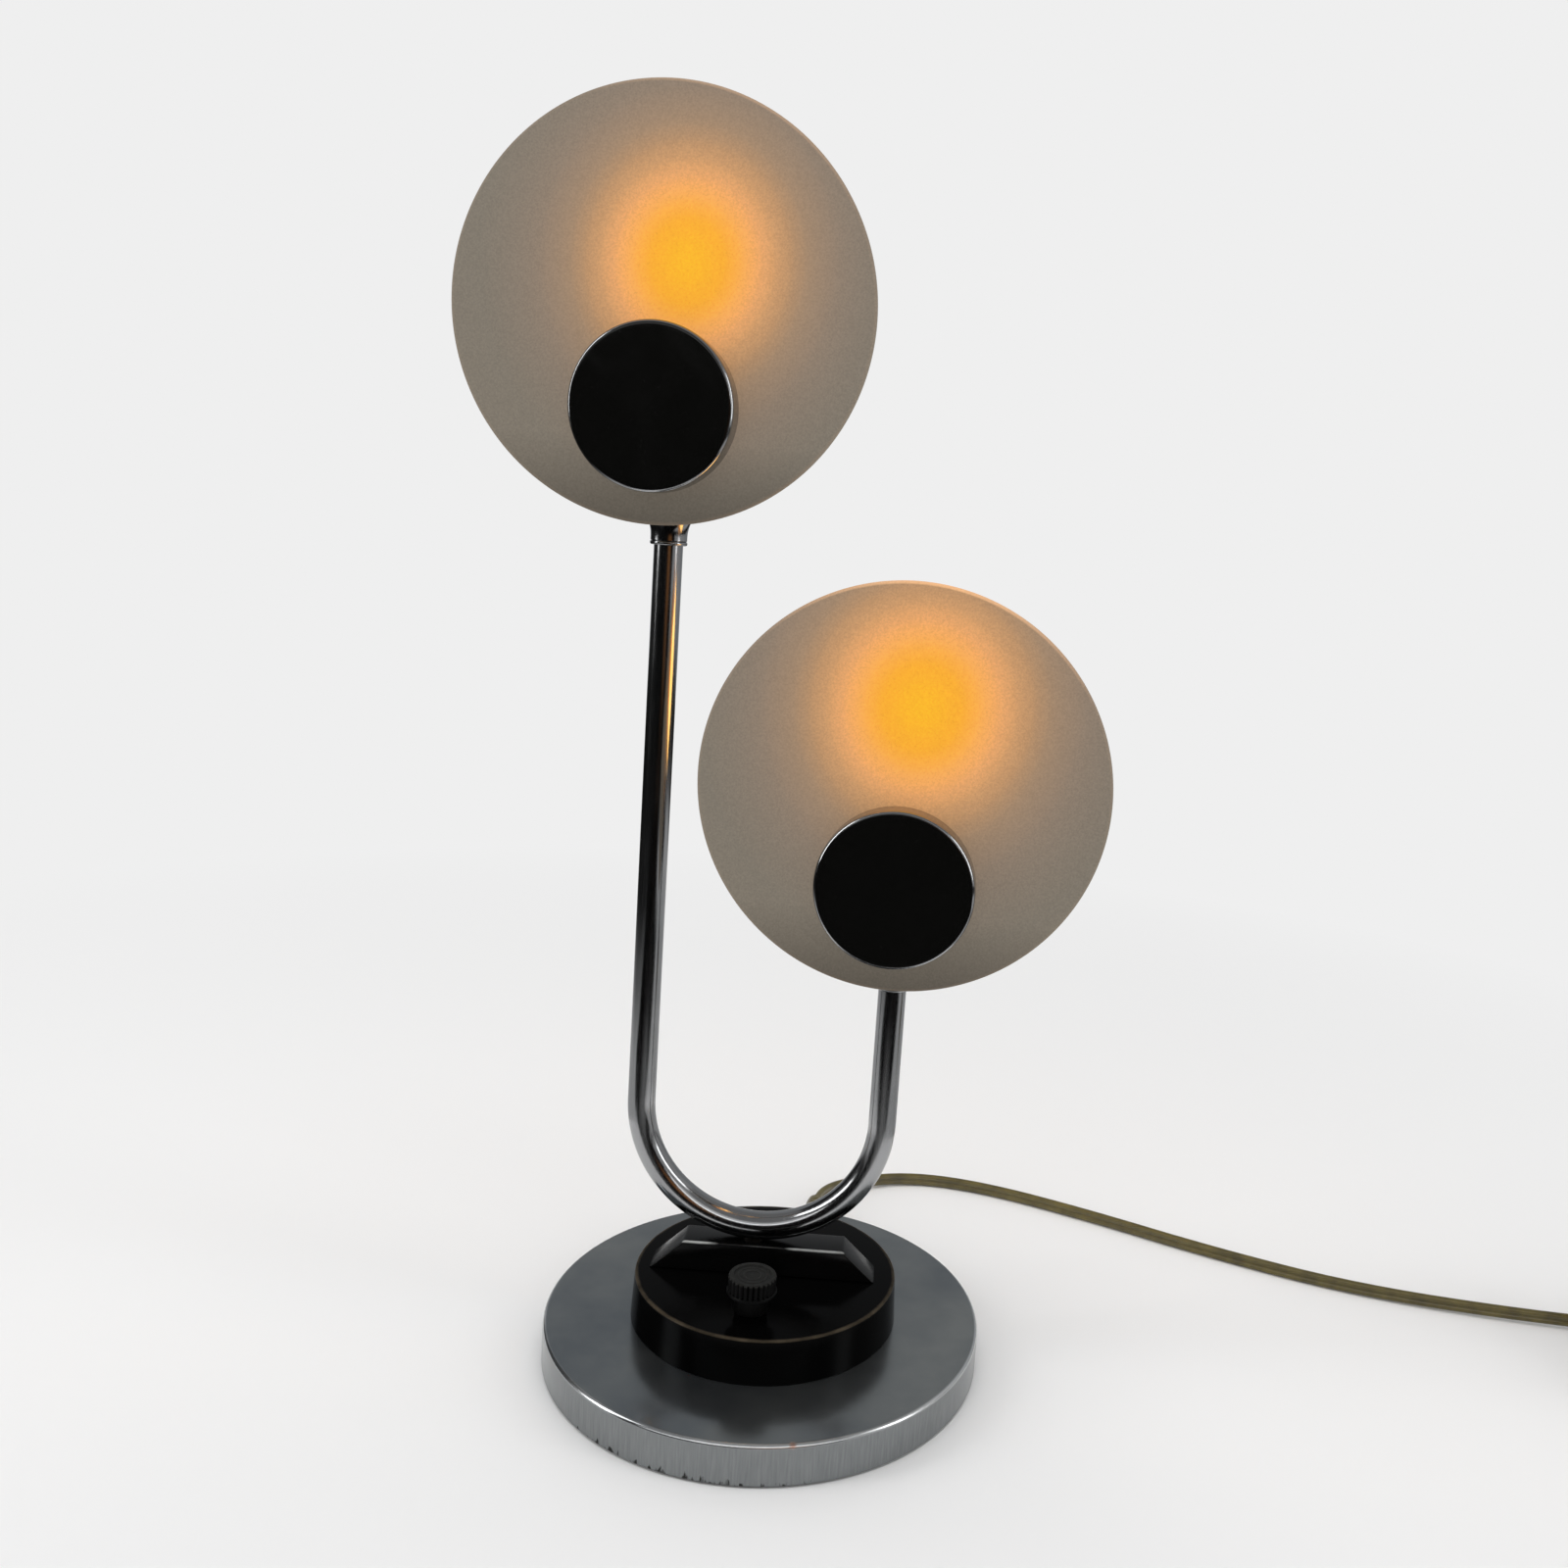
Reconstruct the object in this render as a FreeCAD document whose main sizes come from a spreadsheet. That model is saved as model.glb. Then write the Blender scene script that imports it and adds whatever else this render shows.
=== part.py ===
import FreeCAD, Part
import math
import os
import re
import Sketcher

# Twin-head table lamp: a weighted chrome base, a black dimmer housing with a bridge, one U-bent
# chrome stem and, on each limb, a lampholder cup that carries a frosted glass disc and its cap.
# Millimetres, +Z up, the origin on the table under the middle of the base, the front towards -Y.

SIZES = {
    # Base: spun pan, cast weight and felt
    "base_radius": 80.0,
    "base_height": 15.0,
    "base_wall": 1.2,
    "base_edge": 1.5,
    "base_lift": 0.6,
    "felt_thick": 2.0,
    "pan_clear": 1.0,
    "nut_room_radius": 20.0,
    "nut_room_height": 7.0,
    "channel_clear": 0.3,
    # Dimmer housing and the bridge across it
    "housing_foot_radius": 48.8,
    "housing_top_radius": 48.0,
    "housing_height": 16.0,
    "housing_wall": 2.5,
    "housing_edge": 0.8,
    "boss_radius": 9.0,
    "bridge_foot": 83.2,
    "bridge_top": 58.4,
    "bridge_height": 11.4,
    "bridge_depth": 12.4,
    "bridge_shift": 4.3,
    "bridge_edge": 0.6,
    # Stem and the hollow stud under its bend
    "tube_radius": 5.0,
    "tube_wall": 1.0,
    "bend_radius": 44.5,
    "stem_offset": 5.5,
    "nipple_radius": 4.0,
    "nipple_bore": 3.2,
    "nipple_clear": 0.25,
    "nipple_spare": 0.8,
    "nut_across": 13.0,
    "nut_height": 4.0,
    "washer_radius": 8.5,
    "washer_thick": 0.8,
    "wire_radius": 1.1,
    "wire_inset": 2.4,
    "wire_bend": 2.6,
    "wire_spacing": 2.6,
    # Dimmer under the housing's roof, and its knob
    "knob_inset": 16.0,
    "dimmer_width": 22.0,
    "dimmer_depth": 18.0,
    "dimmer_height": 11.0,
    "bush_radius": 4.0,
    "bush_height": 5.0,
    "bush_clear": 0.2,
    "bush_nut_across": 10.0,
    "bush_nut_height": 1.6,
    "spindle_radius": 3.0,
    "spindle_clear": 0.15,
    "wiper_radius": 4.2,
    "wiper_thick": 1.4,
    "wiper_clear": 0.5,
    "knob_radius": 8.4,
    "knob_flange": 8.8,
    "flange_thick": 1.2,
    "knob_height": 13.0,
    "hub_radius": 6.0,
    "hub_height": 6.5,
    "knob_gap": 0.6,
    "knob_edge": 0.7,
    "knob_dish": 0.4,
    "knob_wall": 2.5,
    "knob_dish_radius": 6.4,
    "rib_groove": 0.6,
    # Heads: height of each glass stud, cup, lampholder
    "upper_stud_height": 338.0,
    "lower_stud_height": 187.5,
    "cup_drop": 42.5,
    "collar_radius": 6.3,
    "collar_height": 1.5,
    "waist_radius": 10.5,
    "waist_height": 11.0,
    "cup_radius": 15.5,
    "flare_height": 22.0,
    "cup_height": 56.0,
    "cup_wall": 1.0,
    "cup_floor": 10.0,
    "cup_floor_radius": 8.3,
    "fit_clear": 0.05,
    "ring_radius": 6.6,
    "ring_height": 1.5,
    "tube_entry": 7.0,
    "entry_radius": 6.8,
    "entry_height": 10.0,
    "holder_radius": 12.5,
    "holder_height": 48.5,
    "socket_radius": 8.6,
    "socket_floor": 22.0,
    "sleeve_clear": 0.2,
    "sleeve_wall": 1.2,
    "sleeve_inset": 1.5,
    "contact_radius": 3.5,
    "contact_height": 4.5,
    # Glass disc, its stud, washers and cap
    "stud_radius": 3.0,
    "shoulder_radius": 6.0,
    "shoulder_length": 5.0,
    "soft_washer": 1.0,
    "soft_radius": 9.0,
    "glass_radius": 69.5,
    "glass_thick": 3.0,
    "glass_hole": 4.0,
    "glass_drop": 32.2,
    "cap_radius": 27.0,
    "cap_height": 8.5,
    "cap_wall": 1.4,
    "cap_edge": 1.6,
    "cap_clear": 0.4,
    "cap_boss": 6.0,
    "thread_depth": 6.0,
    "thread_spare": 0.5,
    # Candle bulbs
    "screw_radius": 6.9,
    "screw_height": 25.0,
    "tip_radius": 2.2,
    "tip_height": 1.0,
    "skirt_height": 5.0,
    "neck_radius": 6.4,
    "neck_height": 4.0,
    "bulb_radius": 17.5,
    "bulb_widest": 33.0,
    "bulb_shoulder_radius": 4.2,
    "bulb_shoulder": 67.5,
    "bulb_height": 73.0,
    "bulb_wall": 1.0,
    # Flex, its bush, the tie and the plug
    "flex_radius": 2.7,
    "exit_x": 6.0,
    "exit_z": 7.0,
    "exit_clear": 0.1,
    "bush_plug_radius": 4.4,
    "bush_flange_radius": 6.0,
    "bush_flange": 1.5,
    "bush_inside": 3.0,
    "relief_length": 20.0,
    "relief_root": 5.0,
    "relief_tip": 3.9,
    "inner_end": 12.0,
    "coil_x": 368.0,
    "coil_y": 40.0,
    "coil_radius": 36.0,
    "coil_pitch": 6.0,
    "coil_lift": 0.1,
    "tie_thick": 0.8,
    "tie_width": 5.0,
    "tie_clear": 0.4,
    "tail_radius": 27.5,
    "plug_width": 24.0,
    "plug_thick": 14.0,
    "plug_length": 30.0,
    "plug_edge": 3.0,
    "plug_lift": 0.3,
    "plug_relief": 12.0,
    "plug_relief_root": 5.2,
    "plug_relief_tip": 3.6,
    "blade_width": 6.3,
    "blade_thick": 1.5,
    "blade_length": 17.0,
    "blade_spacing": 12.7,
}

# Counts that no single size sets.
RIBS = 28
COIL_LAYERS = 4
TURNS_PER_LAYER = 1.875
STEPS_PER_LAYER = 8

# Sizes that follow from others, written once and used by every piece that meets there.
FORMULAS = {
    "weight_top": "base_height - base_wall",
    "weight_radius": "base_radius - base_wall - pan_clear",
    "nut_room_top": "felt_thick + nut_room_height",
    "housing_top": "base_height + housing_height",
    "housing_roof": "housing_height - housing_wall",
    "bridge_roof": "housing_top + bridge_height",
    "stem_low": "bridge_roof + tube_radius",
    "bend_centre": "stem_low + bend_radius",
    "tube_bore": "tube_radius - tube_wall",
    "nipple_foot": "nut_room_top - washer_thick - nut_height - nipple_spare",
    "nipple_hole": "nipple_radius + nipple_clear",
    "upper_x": "-(stem_offset + bend_radius)",
    "lower_x": "bend_radius - stem_offset",
    "upper_cup": "upper_stud_height - cup_drop",
    "lower_cup": "lower_stud_height - cup_drop",
    "limb_entry": "cup_floor + tube_entry",
    "neck_flare": "((waist_radius - collar_radius)^2 + (waist_height - collar_height)^2)"
    " / (2 * (waist_radius - collar_radius))",
    "cup_flare": "((cup_radius - waist_radius)^2 + (flare_height - waist_height)^2)"
    " / (2 * (cup_radius - waist_radius))",
    "sleeve_radius": "socket_radius - sleeve_clear",
    "contact_top": "cup_floor + socket_floor + contact_height",
    "shoulder_face": "cup_radius + shoulder_length",
    "glass_back": "shoulder_face + soft_washer",
    "glass_front": "glass_back + glass_thick",
    "cap_seat": "glass_front + soft_washer",
    "cap_skirt": "cap_height + soft_washer - cap_clear",
    "bulb_foot": "contact_top + screw_height",
    "lower_bulb_arc": "((bulb_radius - neck_radius)^2 + (bulb_widest - neck_height)^2)"
    " / (2 * (bulb_radius - neck_radius))",
    "upper_bulb_arc": "((bulb_radius - bulb_shoulder_radius)^2 + (bulb_shoulder - bulb_widest)^2)"
    " / (2 * (bulb_radius - bulb_shoulder_radius))",
    "bulb_tip_arc": "(bulb_shoulder_radius^2 + (bulb_height - bulb_shoulder)^2)"
    " / (2 * (bulb_height - bulb_shoulder))",
    "bulb_tip_inside": "((bulb_shoulder_radius - bulb_wall)^2 + (bulb_height - bulb_wall - bulb_shoulder)^2)"
    " / (2 * (bulb_height - bulb_wall - bulb_shoulder))",
    "dimmer_top": "housing_top - housing_wall",
    "dimmer_foot": "dimmer_top - dimmer_height",
    "bush_top": "housing_top + bush_height",
    "knob_front": "housing_top_radius - knob_inset",
    "knob_foot": "housing_top + bush_nut_height + knob_gap",
    "knob_bore": "knob_height - knob_dish - knob_wall",
    "wiper_foot": "dimmer_foot + dimmer_height / 2",
    "exit_hole": "bush_plug_radius + exit_clear",
    "channel_half": "bush_plug_radius + channel_clear",
    "channel_roof": "exit_z + channel_half",
    "exit_y": "base_radius + bush_flange + relief_length",
    "flex_level": "flex_radius + coil_lift",
    "coil_foot": "tie_thick + flex_level",
    "coil_top": "coil_foot + 3 * coil_pitch",
    "plug_axis": "coil_top + flex_radius + plug_lift + plug_thick / 2",
    "plug_x": "coil_x - tail_radius",
    "plug_y": "coil_y - coil_radius + tail_radius + 2 * flex_radius",
}

UPRIGHT = FreeCAD.Rotation()
FORWARD = FreeCAD.Rotation(FreeCAD.Vector(1, 0, 0), 90)
BACKWARD = FreeCAD.Rotation(FreeCAD.Vector(1, 0, 0), -90)
ASKEW = FreeCAD.Rotation(FreeCAD.Vector(0, 0, 1), 4)

doc = FreeCAD.newDocument("twin_disc_table_lamp")
sheet = doc.addObject("Spreadsheet::Sheet", "Sizes")
for row, (alias, number) in enumerate(SIZES.items(), start=1):
    sheet.set("A%d" % row, alias)
    sheet.set("B%d" % row, str(number))
    sheet.setAlias("B%d" % row, alias)
doc.recompute()

nodes = []


def formula(text):
    """The text with each size's name spelled as its cell and each derived name written out."""

    def spell(found):
        word = found.group(0)
        if word in FORMULAS:
            return "(%s)" % formula(FORMULAS[word])
        return "Sizes." + word if word in SIZES else word

    return re.sub(r"[a-z_]+", spell, text)


def amount(text):
    """The number that a formula gives now."""
    return float(sheet.evalExpression(formula(text)))


def bind(thing, name, text):
    thing.setExpression(name, formula(text))


def place(thing, x="0", y="0", z="0", turn=UPRIGHT):
    thing.Placement = FreeCAD.Placement(FreeCAD.Vector(), turn)
    for axis, text in zip("xyz", (x, y, z)):
        if text != "0":
            bind(thing, "Placement.Base." + axis, text)


def keep(thing, label):
    """Marks an object as a finished piece, under the name of its file."""
    thing.Label = label
    nodes.append(thing)
    return thing


# Sketches whose corners are tied to formulas


def sketch_on(body, plane, lift="0"):
    sketch = body.newObject("Sketcher::SketchObject", "Outline")
    support = next(f for f in body.Origin.OriginFeatures if f.Role == plane)
    sketch.AttachmentSupport = [(support, "")]
    sketch.MapMode = "FlatFace"
    if lift != "0":
        bind(sketch, "AttachmentOffset.Base.z", lift)
    return sketch


def tie(sketch, kind, *where, text):
    index = sketch.addConstraint(Sketcher.Constraint(kind, *where, amount(text)))
    sketch.setExpression("Constraints[%d]" % index, formula(text))


def pin_point(sketch, geo, end, x, y):
    """Ties one end of a sketch element to its two coordinates."""
    for kind, axis, text in (("DistanceX", -2, x), ("DistanceY", -1, y)):
        if text == "0":
            sketch.addConstraint(Sketcher.Constraint("PointOnObject", geo, end, axis))
        elif amount(text) < 0:
            tie(sketch, kind, geo, end, -1, 1, text="-(%s)" % text)
        else:
            tie(sketch, kind, -1, 1, geo, end, text=text)


def bent_edge(start, stop, radius, left):
    """An arc of under a half circle whose centre is to the left or right of the way from start to stop."""
    chord = stop - start
    side = FreeCAD.Vector(-chord.y, chord.x) / chord.Length * (1 if left else -1)
    centre = (start + stop) / 2 + side * math.sqrt(max(0.0, radius**2 - (chord.Length / 2) ** 2))
    first, last = (start, stop) if left else (stop, start)
    angles = [math.atan2(p.y - centre.y, p.x - centre.x) for p in (first, last)]
    return Part.ArcOfCircle(Part.Circle(centre, FreeCAD.Vector(0, 0, 1), radius), *angles)


def outline(sketch, corners, closed=True):
    """Joins corners (x, y) by lines, or by an arc after (x, y, "+radius") or (x, y, "-radius")."""
    spots = [FreeCAD.Vector(amount(c[0]), amount(c[1])) for c in corners]
    count = len(corners) if closed else len(corners) - 1
    ends = []
    for i in range(count):
        start, stop = spots[i], spots[(i + 1) % len(spots)]
        if len(corners[i]) == 2:
            ends.append((sketch.addGeometry(Part.LineSegment(start, stop)), 1, 2))
        else:
            left = corners[i][2][0] == "+"
            edge = bent_edge(start, stop, amount(corners[i][2][1:]), left)
            ends.append((sketch.addGeometry(edge), *((1, 2) if left else (2, 1))))
    for i, (geo, first, last) in enumerate(ends):
        pin_point(sketch, geo, first, *corners[i][:2])
        if len(corners[i]) == 3:
            tie(sketch, "Radius", geo, text=corners[i][2][1:])
        if closed or i + 1 < count:
            after, its_first, _ = ends[(i + 1) % count]
            sketch.addConstraint(Sketcher.Constraint("Coincident", geo, last, after, its_first))
    if not closed:
        pin_point(sketch, ends[-1][0], ends[-1][2], *corners[-1][:2])


def circle(sketch, x, y, radius):
    spot = FreeCAD.Vector(amount(x), amount(y))
    geo = sketch.addGeometry(Part.Circle(spot, FreeCAD.Vector(0, 0, 1), amount(radius)))
    pin_point(sketch, geo, 3, x, y)
    tie(sketch, "Radius", geo, text=radius)


# Ways of making a piece


def new_body(name):
    return doc.addObject("PartDesign::Body", name)


def turned(name, corners, **where):
    """A body turned about its own Z axis from an outline of (radius, height) corners."""
    body = new_body(name)
    sketch = sketch_on(body, "XZ_Plane")
    outline(sketch, corners)
    lathe = body.newObject("PartDesign::Revolution", "Turn")
    lathe.Profile = sketch
    lathe.ReferenceAxis = (sketch, ["V_Axis"])
    lathe.Angle = 360
    place(body, **where)
    doc.recompute()
    return body


def pad(body, plane, draw, length, both_ways=False):
    sketch = sketch_on(body, plane)
    draw(sketch)
    feature = body.newObject("PartDesign::Pad", "Pad")
    feature.Profile = sketch
    bind(feature, "Length", length)
    if both_ways:
        feature.SideType = "Symmetric"
    doc.recompute()
    return feature


def pocket(body, plane, draw, length, lift="0"):
    """Cuts up from an XY sketch, or backwards from an XZ one, and checks that it took something."""
    before = body.Shape.Volume
    sketch = sketch_on(body, plane, lift)
    draw(sketch)
    feature = body.newObject("PartDesign::Pocket", "Pocket")
    feature.Profile = sketch
    feature.Reversed = plane == "XY_Plane"
    bind(feature, "Length", length)
    doc.recompute()
    assert body.Shape.Volume < before - 0.1, body.Name + ": a pocket cut nothing"
    return feature


def cylinder(name, radius, height, **where):
    thing = doc.addObject("Part::Cylinder", name)
    bind(thing, "Radius", radius)
    bind(thing, "Height", height)
    place(thing, **where)
    return thing


def block(name, length, width, height, **where):
    thing = doc.addObject("Part::Box", name)
    for side, text in (("Length", length), ("Width", width), ("Height", height)):
        bind(thing, side, text)
    place(thing, **where)
    return thing


def cut(name, base, tool):
    thing = doc.addObject("Part::Cut", name)
    thing.Base = base
    thing.Tool = tool
    return thing


def fused(name, shapes):
    thing = doc.addObject("Part::MultiFuse", name)
    thing.Shapes = shapes
    return thing


def washer(name, radius, bore, thick, **where):
    return turned(name, [(bore, "0"), (radius, "0"), (radius, thick), (bore, thick)], **where)


def hex_nut(name, across, bore, height, **where):
    prism = doc.addObject("Part::Prism", name + "_blank")
    prism.Polygon = 6
    bind(prism, "Circumradius", "%s / sqrt(3)" % across)
    bind(prism, "Height", height)
    place(prism, **where)
    return cut(name, prism, cylinder(name + "_bore", bore, height, **where))


# Base


def base_shell():
    body = turned(
        "BaseShell",
        [
            ("0", "weight_top"),
            ("base_radius - base_wall", "weight_top"),
            ("base_radius - base_wall", "base_lift"),
            ("base_radius", "base_lift"),
            ("base_radius", "base_height - base_edge", "+base_edge"),
            ("base_radius - base_edge", "base_height"),
            ("0", "base_height"),
        ],
    )
    pocket(body, "XY_Plane", lambda s: circle(s, "-stem_offset", "0", "nipple_hole"), "base_height * 2")
    pocket(body, "XZ_Plane", lambda s: circle(s, "exit_x", "exit_z", "exit_hole"), "base_radius")
    keep(body, "base_shell")


def base_weight():
    body = new_body("BaseWeight")
    pad(body, "XY_Plane", lambda s: circle(s, "0", "0", "weight_radius"), "weight_top - felt_thick")
    pocket(body, "XY_Plane", lambda s: circle(s, "-stem_offset", "0", "nipple_hole"), "base_height")
    pocket(body, "XY_Plane", lambda s: circle(s, "-stem_offset", "0", "nut_room_radius"), "nut_room_height")

    def channel(sketch):
        left, right = "exit_x - channel_half", "exit_x + channel_half"
        outline(sketch, [(left, "0"), (right, "0"), (right, "base_radius"), (left, "base_radius")])

    pocket(body, "XY_Plane", channel, "channel_roof - felt_thick")
    place(body, z="felt_thick")
    keep(body, "base_weight")


def base_felt():
    felt = cylinder("BaseFelt", "weight_radius", "felt_thick")
    keep(felt, "base_felt")


# Dimmer housing, bridge and stem


def dimmer_housing():
    inside_foot, inside_top = "housing_foot_radius - housing_wall", "housing_top_radius - housing_wall"
    body = turned(
        "DimmerHousing",
        [
            ("0", "housing_roof"),
            (inside_top, "housing_roof"),
            (inside_foot, "0"),
            ("housing_foot_radius", "0"),
            ("housing_top_radius", "housing_height - housing_edge", "+housing_edge"),
            ("housing_top_radius - housing_edge", "housing_height"),
            ("0", "housing_height"),
        ],
        z="base_height",
    )
    pad(body, "XY_Plane", lambda s: circle(s, "-stem_offset", "0", "boss_radius"), "housing_roof")
    for x, y, radius in (
        ("-stem_offset", "0", "nipple_hole"),
        ("0", "-knob_front", "bush_radius + bush_clear"),
    ):
        pocket(body, "XY_Plane", lambda s: circle(s, x, y, radius), "housing_height")
    keep(body, "dimmer_housing")


def bridge_block():
    """Block on the stud, screwed down a little out of line with the stem."""
    body = new_body("BridgeBlock")
    feet = [("bridge_shift - bridge_foot / 2", "0"), ("bridge_shift + bridge_foot / 2", "0")]
    tops = [
        ("bridge_shift + bridge_top / 2", "bridge_height"),
        ("bridge_shift - bridge_top / 2", "bridge_height"),
    ]
    blank = pad(body, "XZ_Plane", lambda s: outline(s, feet + tops), "bridge_depth", both_ways=True)
    soft = body.newObject("PartDesign::Fillet", "SoftEdges")
    soft.Base = (blank, ["Edge%d" % (i + 1) for i in range(len(blank.Shape.Edges))])
    bind(soft, "Radius", "bridge_edge")
    doc.recompute()
    pocket(body, "XY_Plane", lambda s: circle(s, "0", "0", "nipple_hole"), "bridge_height")
    place(body, x="-stem_offset", z="housing_top", turn=ASKEW)
    keep(body, "bridge_block")


def stem_tube():
    body = new_body("StemTube")
    limbs = [
        ("upper_x", "upper_cup + limb_entry"),
        ("upper_x", "bend_centre", "+bend_radius"),
        ("-stem_offset", "stem_low", "+bend_radius"),
        ("lower_x", "bend_centre"),
        ("lower_x", "lower_cup + limb_entry"),
    ]
    path = sketch_on(body, "XZ_Plane")
    outline(path, limbs, closed=False)
    ring = sketch_on(body, "XY_Plane", "upper_cup + limb_entry")
    for radius in ("tube_radius", "tube_bore"):
        circle(ring, "upper_x", "0", radius)
    pipe = body.newObject("PartDesign::AdditivePipe", "Bend")
    pipe.Profile = ring
    pipe.Spine = (path, ["Edge%d" % (i + 1) for i in range(len(limbs) - 1)])
    doc.recompute()
    pocket(
        body,
        "XY_Plane",
        lambda s: circle(s, "-stem_offset", "0", "nipple_bore"),
        "tube_radius + tube_wall",
        lift="bridge_roof - tube_wall",
    )
    keep(body, "stem_tube")


def stem_nipple():
    """Hollow stud, hollowed at its top to seat on the underside of the bend."""
    foot = dict(x="-stem_offset", z="nipple_foot")
    blank = washer("NippleBlank", "nipple_radius", "nipple_bore", "stem_low - nipple_foot", **foot)
    bend = doc.addObject("Part::Torus", "BendOutside")
    bind(bend, "Radius1", "bend_radius")
    bind(bend, "Radius2", "tube_radius")
    place(bend, x="-stem_offset", z="bend_centre", turn=FORWARD)
    keep(cut("StemNipple", blank, bend), "stem_nipple")
    lock = washer(
        "LockWasher",
        "washer_radius",
        "nipple_hole",
        "washer_thick",
        x="-stem_offset",
        z="nut_room_top - washer_thick",
    )
    keep(lock, "stem_lock_washer")
    nut = hex_nut(
        "LockNut",
        "nut_across",
        "nipple_radius + fit_clear",
        "nut_height",
        x="-stem_offset",
        z="nut_room_top - washer_thick - nut_height",
    )
    keep(nut, "stem_lock_nut")


# Dimmer and knob


def dimmer():
    spot = dict(x="0", y="-knob_front")
    case = block(
        "DimmerCase",
        "dimmer_width",
        "dimmer_depth",
        "dimmer_height",
        x="-dimmer_width / 2",
        y="-(knob_front + dimmer_depth / 2)",
        z="dimmer_foot",
    )
    bush = cylinder("DimmerBush", "bush_radius", "bush_top - dimmer_top", z="dimmer_top", **spot)
    whole = fused("DimmerBlank", [case, bush])
    room = turned(
        "SpindleRoom",
        [
            ("0", "wiper_foot - wiper_clear"),
            ("wiper_radius + wiper_clear", "wiper_foot - wiper_clear"),
            ("wiper_radius + wiper_clear", "wiper_foot + wiper_thick + wiper_clear"),
            ("spindle_radius + spindle_clear", "wiper_foot + wiper_thick + wiper_clear"),
            ("spindle_radius + spindle_clear", "bush_top + 1"),
            ("0", "bush_top + 1"),
        ],
        **spot,
    )
    keep(cut("DimmerBody", whole, room), "dimmer_body")
    bore = "bush_radius + fit_clear"
    nut = hex_nut("BushNut", "bush_nut_across", bore, "bush_nut_height", z="housing_top", **spot)
    keep(nut, "dimmer_nut")
    spindle_top = "knob_foot + knob_bore"
    spindle = turned(
        "DimmerSpindle",
        [
            ("0", "wiper_foot"),
            ("wiper_radius", "wiper_foot"),
            ("wiper_radius", "wiper_foot + wiper_thick"),
            ("spindle_radius", "wiper_foot + wiper_thick"),
            ("spindle_radius", spindle_top),
            ("0", spindle_top),
        ],
        **spot,
    )
    keep(spindle, "dimmer_spindle")


def control_knob():
    """Ribbed cap on a narrower hub that is hollow over the dimmer's bush."""
    rim, crown = "hub_height + flange_thick", "knob_height - knob_dish"
    body = turned(
        "ControlKnob",
        [
            ("0", "knob_bore"),
            ("spindle_radius + fit_clear", "knob_bore"),
            ("spindle_radius + fit_clear", "bush_top - knob_foot + knob_gap"),
            ("bush_radius + knob_gap", "bush_top - knob_foot + knob_gap"),
            ("bush_radius + knob_gap", "0"),
            ("hub_radius", "0"),
            ("hub_radius", "hub_height"),
            ("knob_flange", "hub_height"),
            ("knob_flange", rim),
            ("knob_radius", rim),
            ("knob_radius", "knob_height - knob_edge", "+knob_edge"),
            ("knob_radius - knob_edge", "knob_height"),
            ("knob_dish_radius", "knob_height"),
            ("knob_dish_radius - knob_dish", crown),
            ("0", crown),
        ],
        y="-knob_front",
        z="knob_foot",
    )
    groove = pocket(
        body,
        "XY_Plane",
        lambda s: circle(s, "knob_radius", "0", "rib_groove"),
        "knob_height",
        lift=rim,
    )
    ribs = body.newObject("PartDesign::PolarPattern", "Ribs")
    ribs.Originals = [groove]
    ribs.Axis = (groove.Profile[0], ["N_Axis"])
    ribs.Angle = 360
    ribs.Occurrences = RIBS
    body.Tip = ribs
    keep(body, "control_knob")


# Heads


def lampholder(side, x, cup):
    """Cup with its ring under it, and the holder that screws onto the limb inside it."""
    name = side.capitalize()
    bore, inside = "tube_radius + fit_clear", "cup_radius - cup_wall"
    ring = washer(name + "Ring", "ring_radius", bore, "ring_height", x=x, z=cup + " - ring_height")
    keep(ring, side + "_cup_ring")
    shell = turned(
        name + "Cup",
        [
            (bore, "0"),
            ("collar_radius", "0"),
            ("collar_radius", "collar_height", "-neck_flare"),
            ("waist_radius", "waist_height", "+cup_flare"),
            ("cup_radius", "flare_height"),
            ("cup_radius", "cup_height"),
            (inside, "cup_height"),
            (inside, "flare_height"),
            ("cup_floor_radius", "cup_floor"),
            (bore, "cup_floor"),
        ],
        x=x,
        z=cup,
    )
    keep(shell, side + "_lampholder_cup")
    holder = turned(
        name + "Holder",
        [
            (bore, "0"),
            ("entry_radius", "0"),
            ("entry_radius", "entry_height"),
            ("holder_radius", "entry_height"),
            ("holder_radius", "holder_height"),
            ("socket_radius", "holder_height"),
            ("socket_radius", "socket_floor"),
            ("0", "socket_floor"),
            ("0", "tube_entry"),
            (bore, "tube_entry"),
        ],
        x=x,
        z=cup + " + cup_floor",
    )
    keep(holder, side + "_lampholder")
    sleeve = washer(
        name + "Sleeve",
        "sleeve_radius",
        "sleeve_radius - sleeve_wall",
        "holder_height - socket_floor - sleeve_inset",
        x=x,
        z=cup + " + cup_floor + socket_floor",
    )
    keep(sleeve, side + "_thread_sleeve")
    contact = turned(
        name + "Contact",
        [
            ("0", "0"),
            ("contact_radius", "0"),
            ("contact_radius", "contact_height / 4"),
            ("tip_radius", "contact_height"),
            ("0", "contact_height"),
        ],
        x=x,
        z=cup + " + cup_floor + socket_floor",
    )
    keep(contact, side + "_centre_contact")


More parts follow.
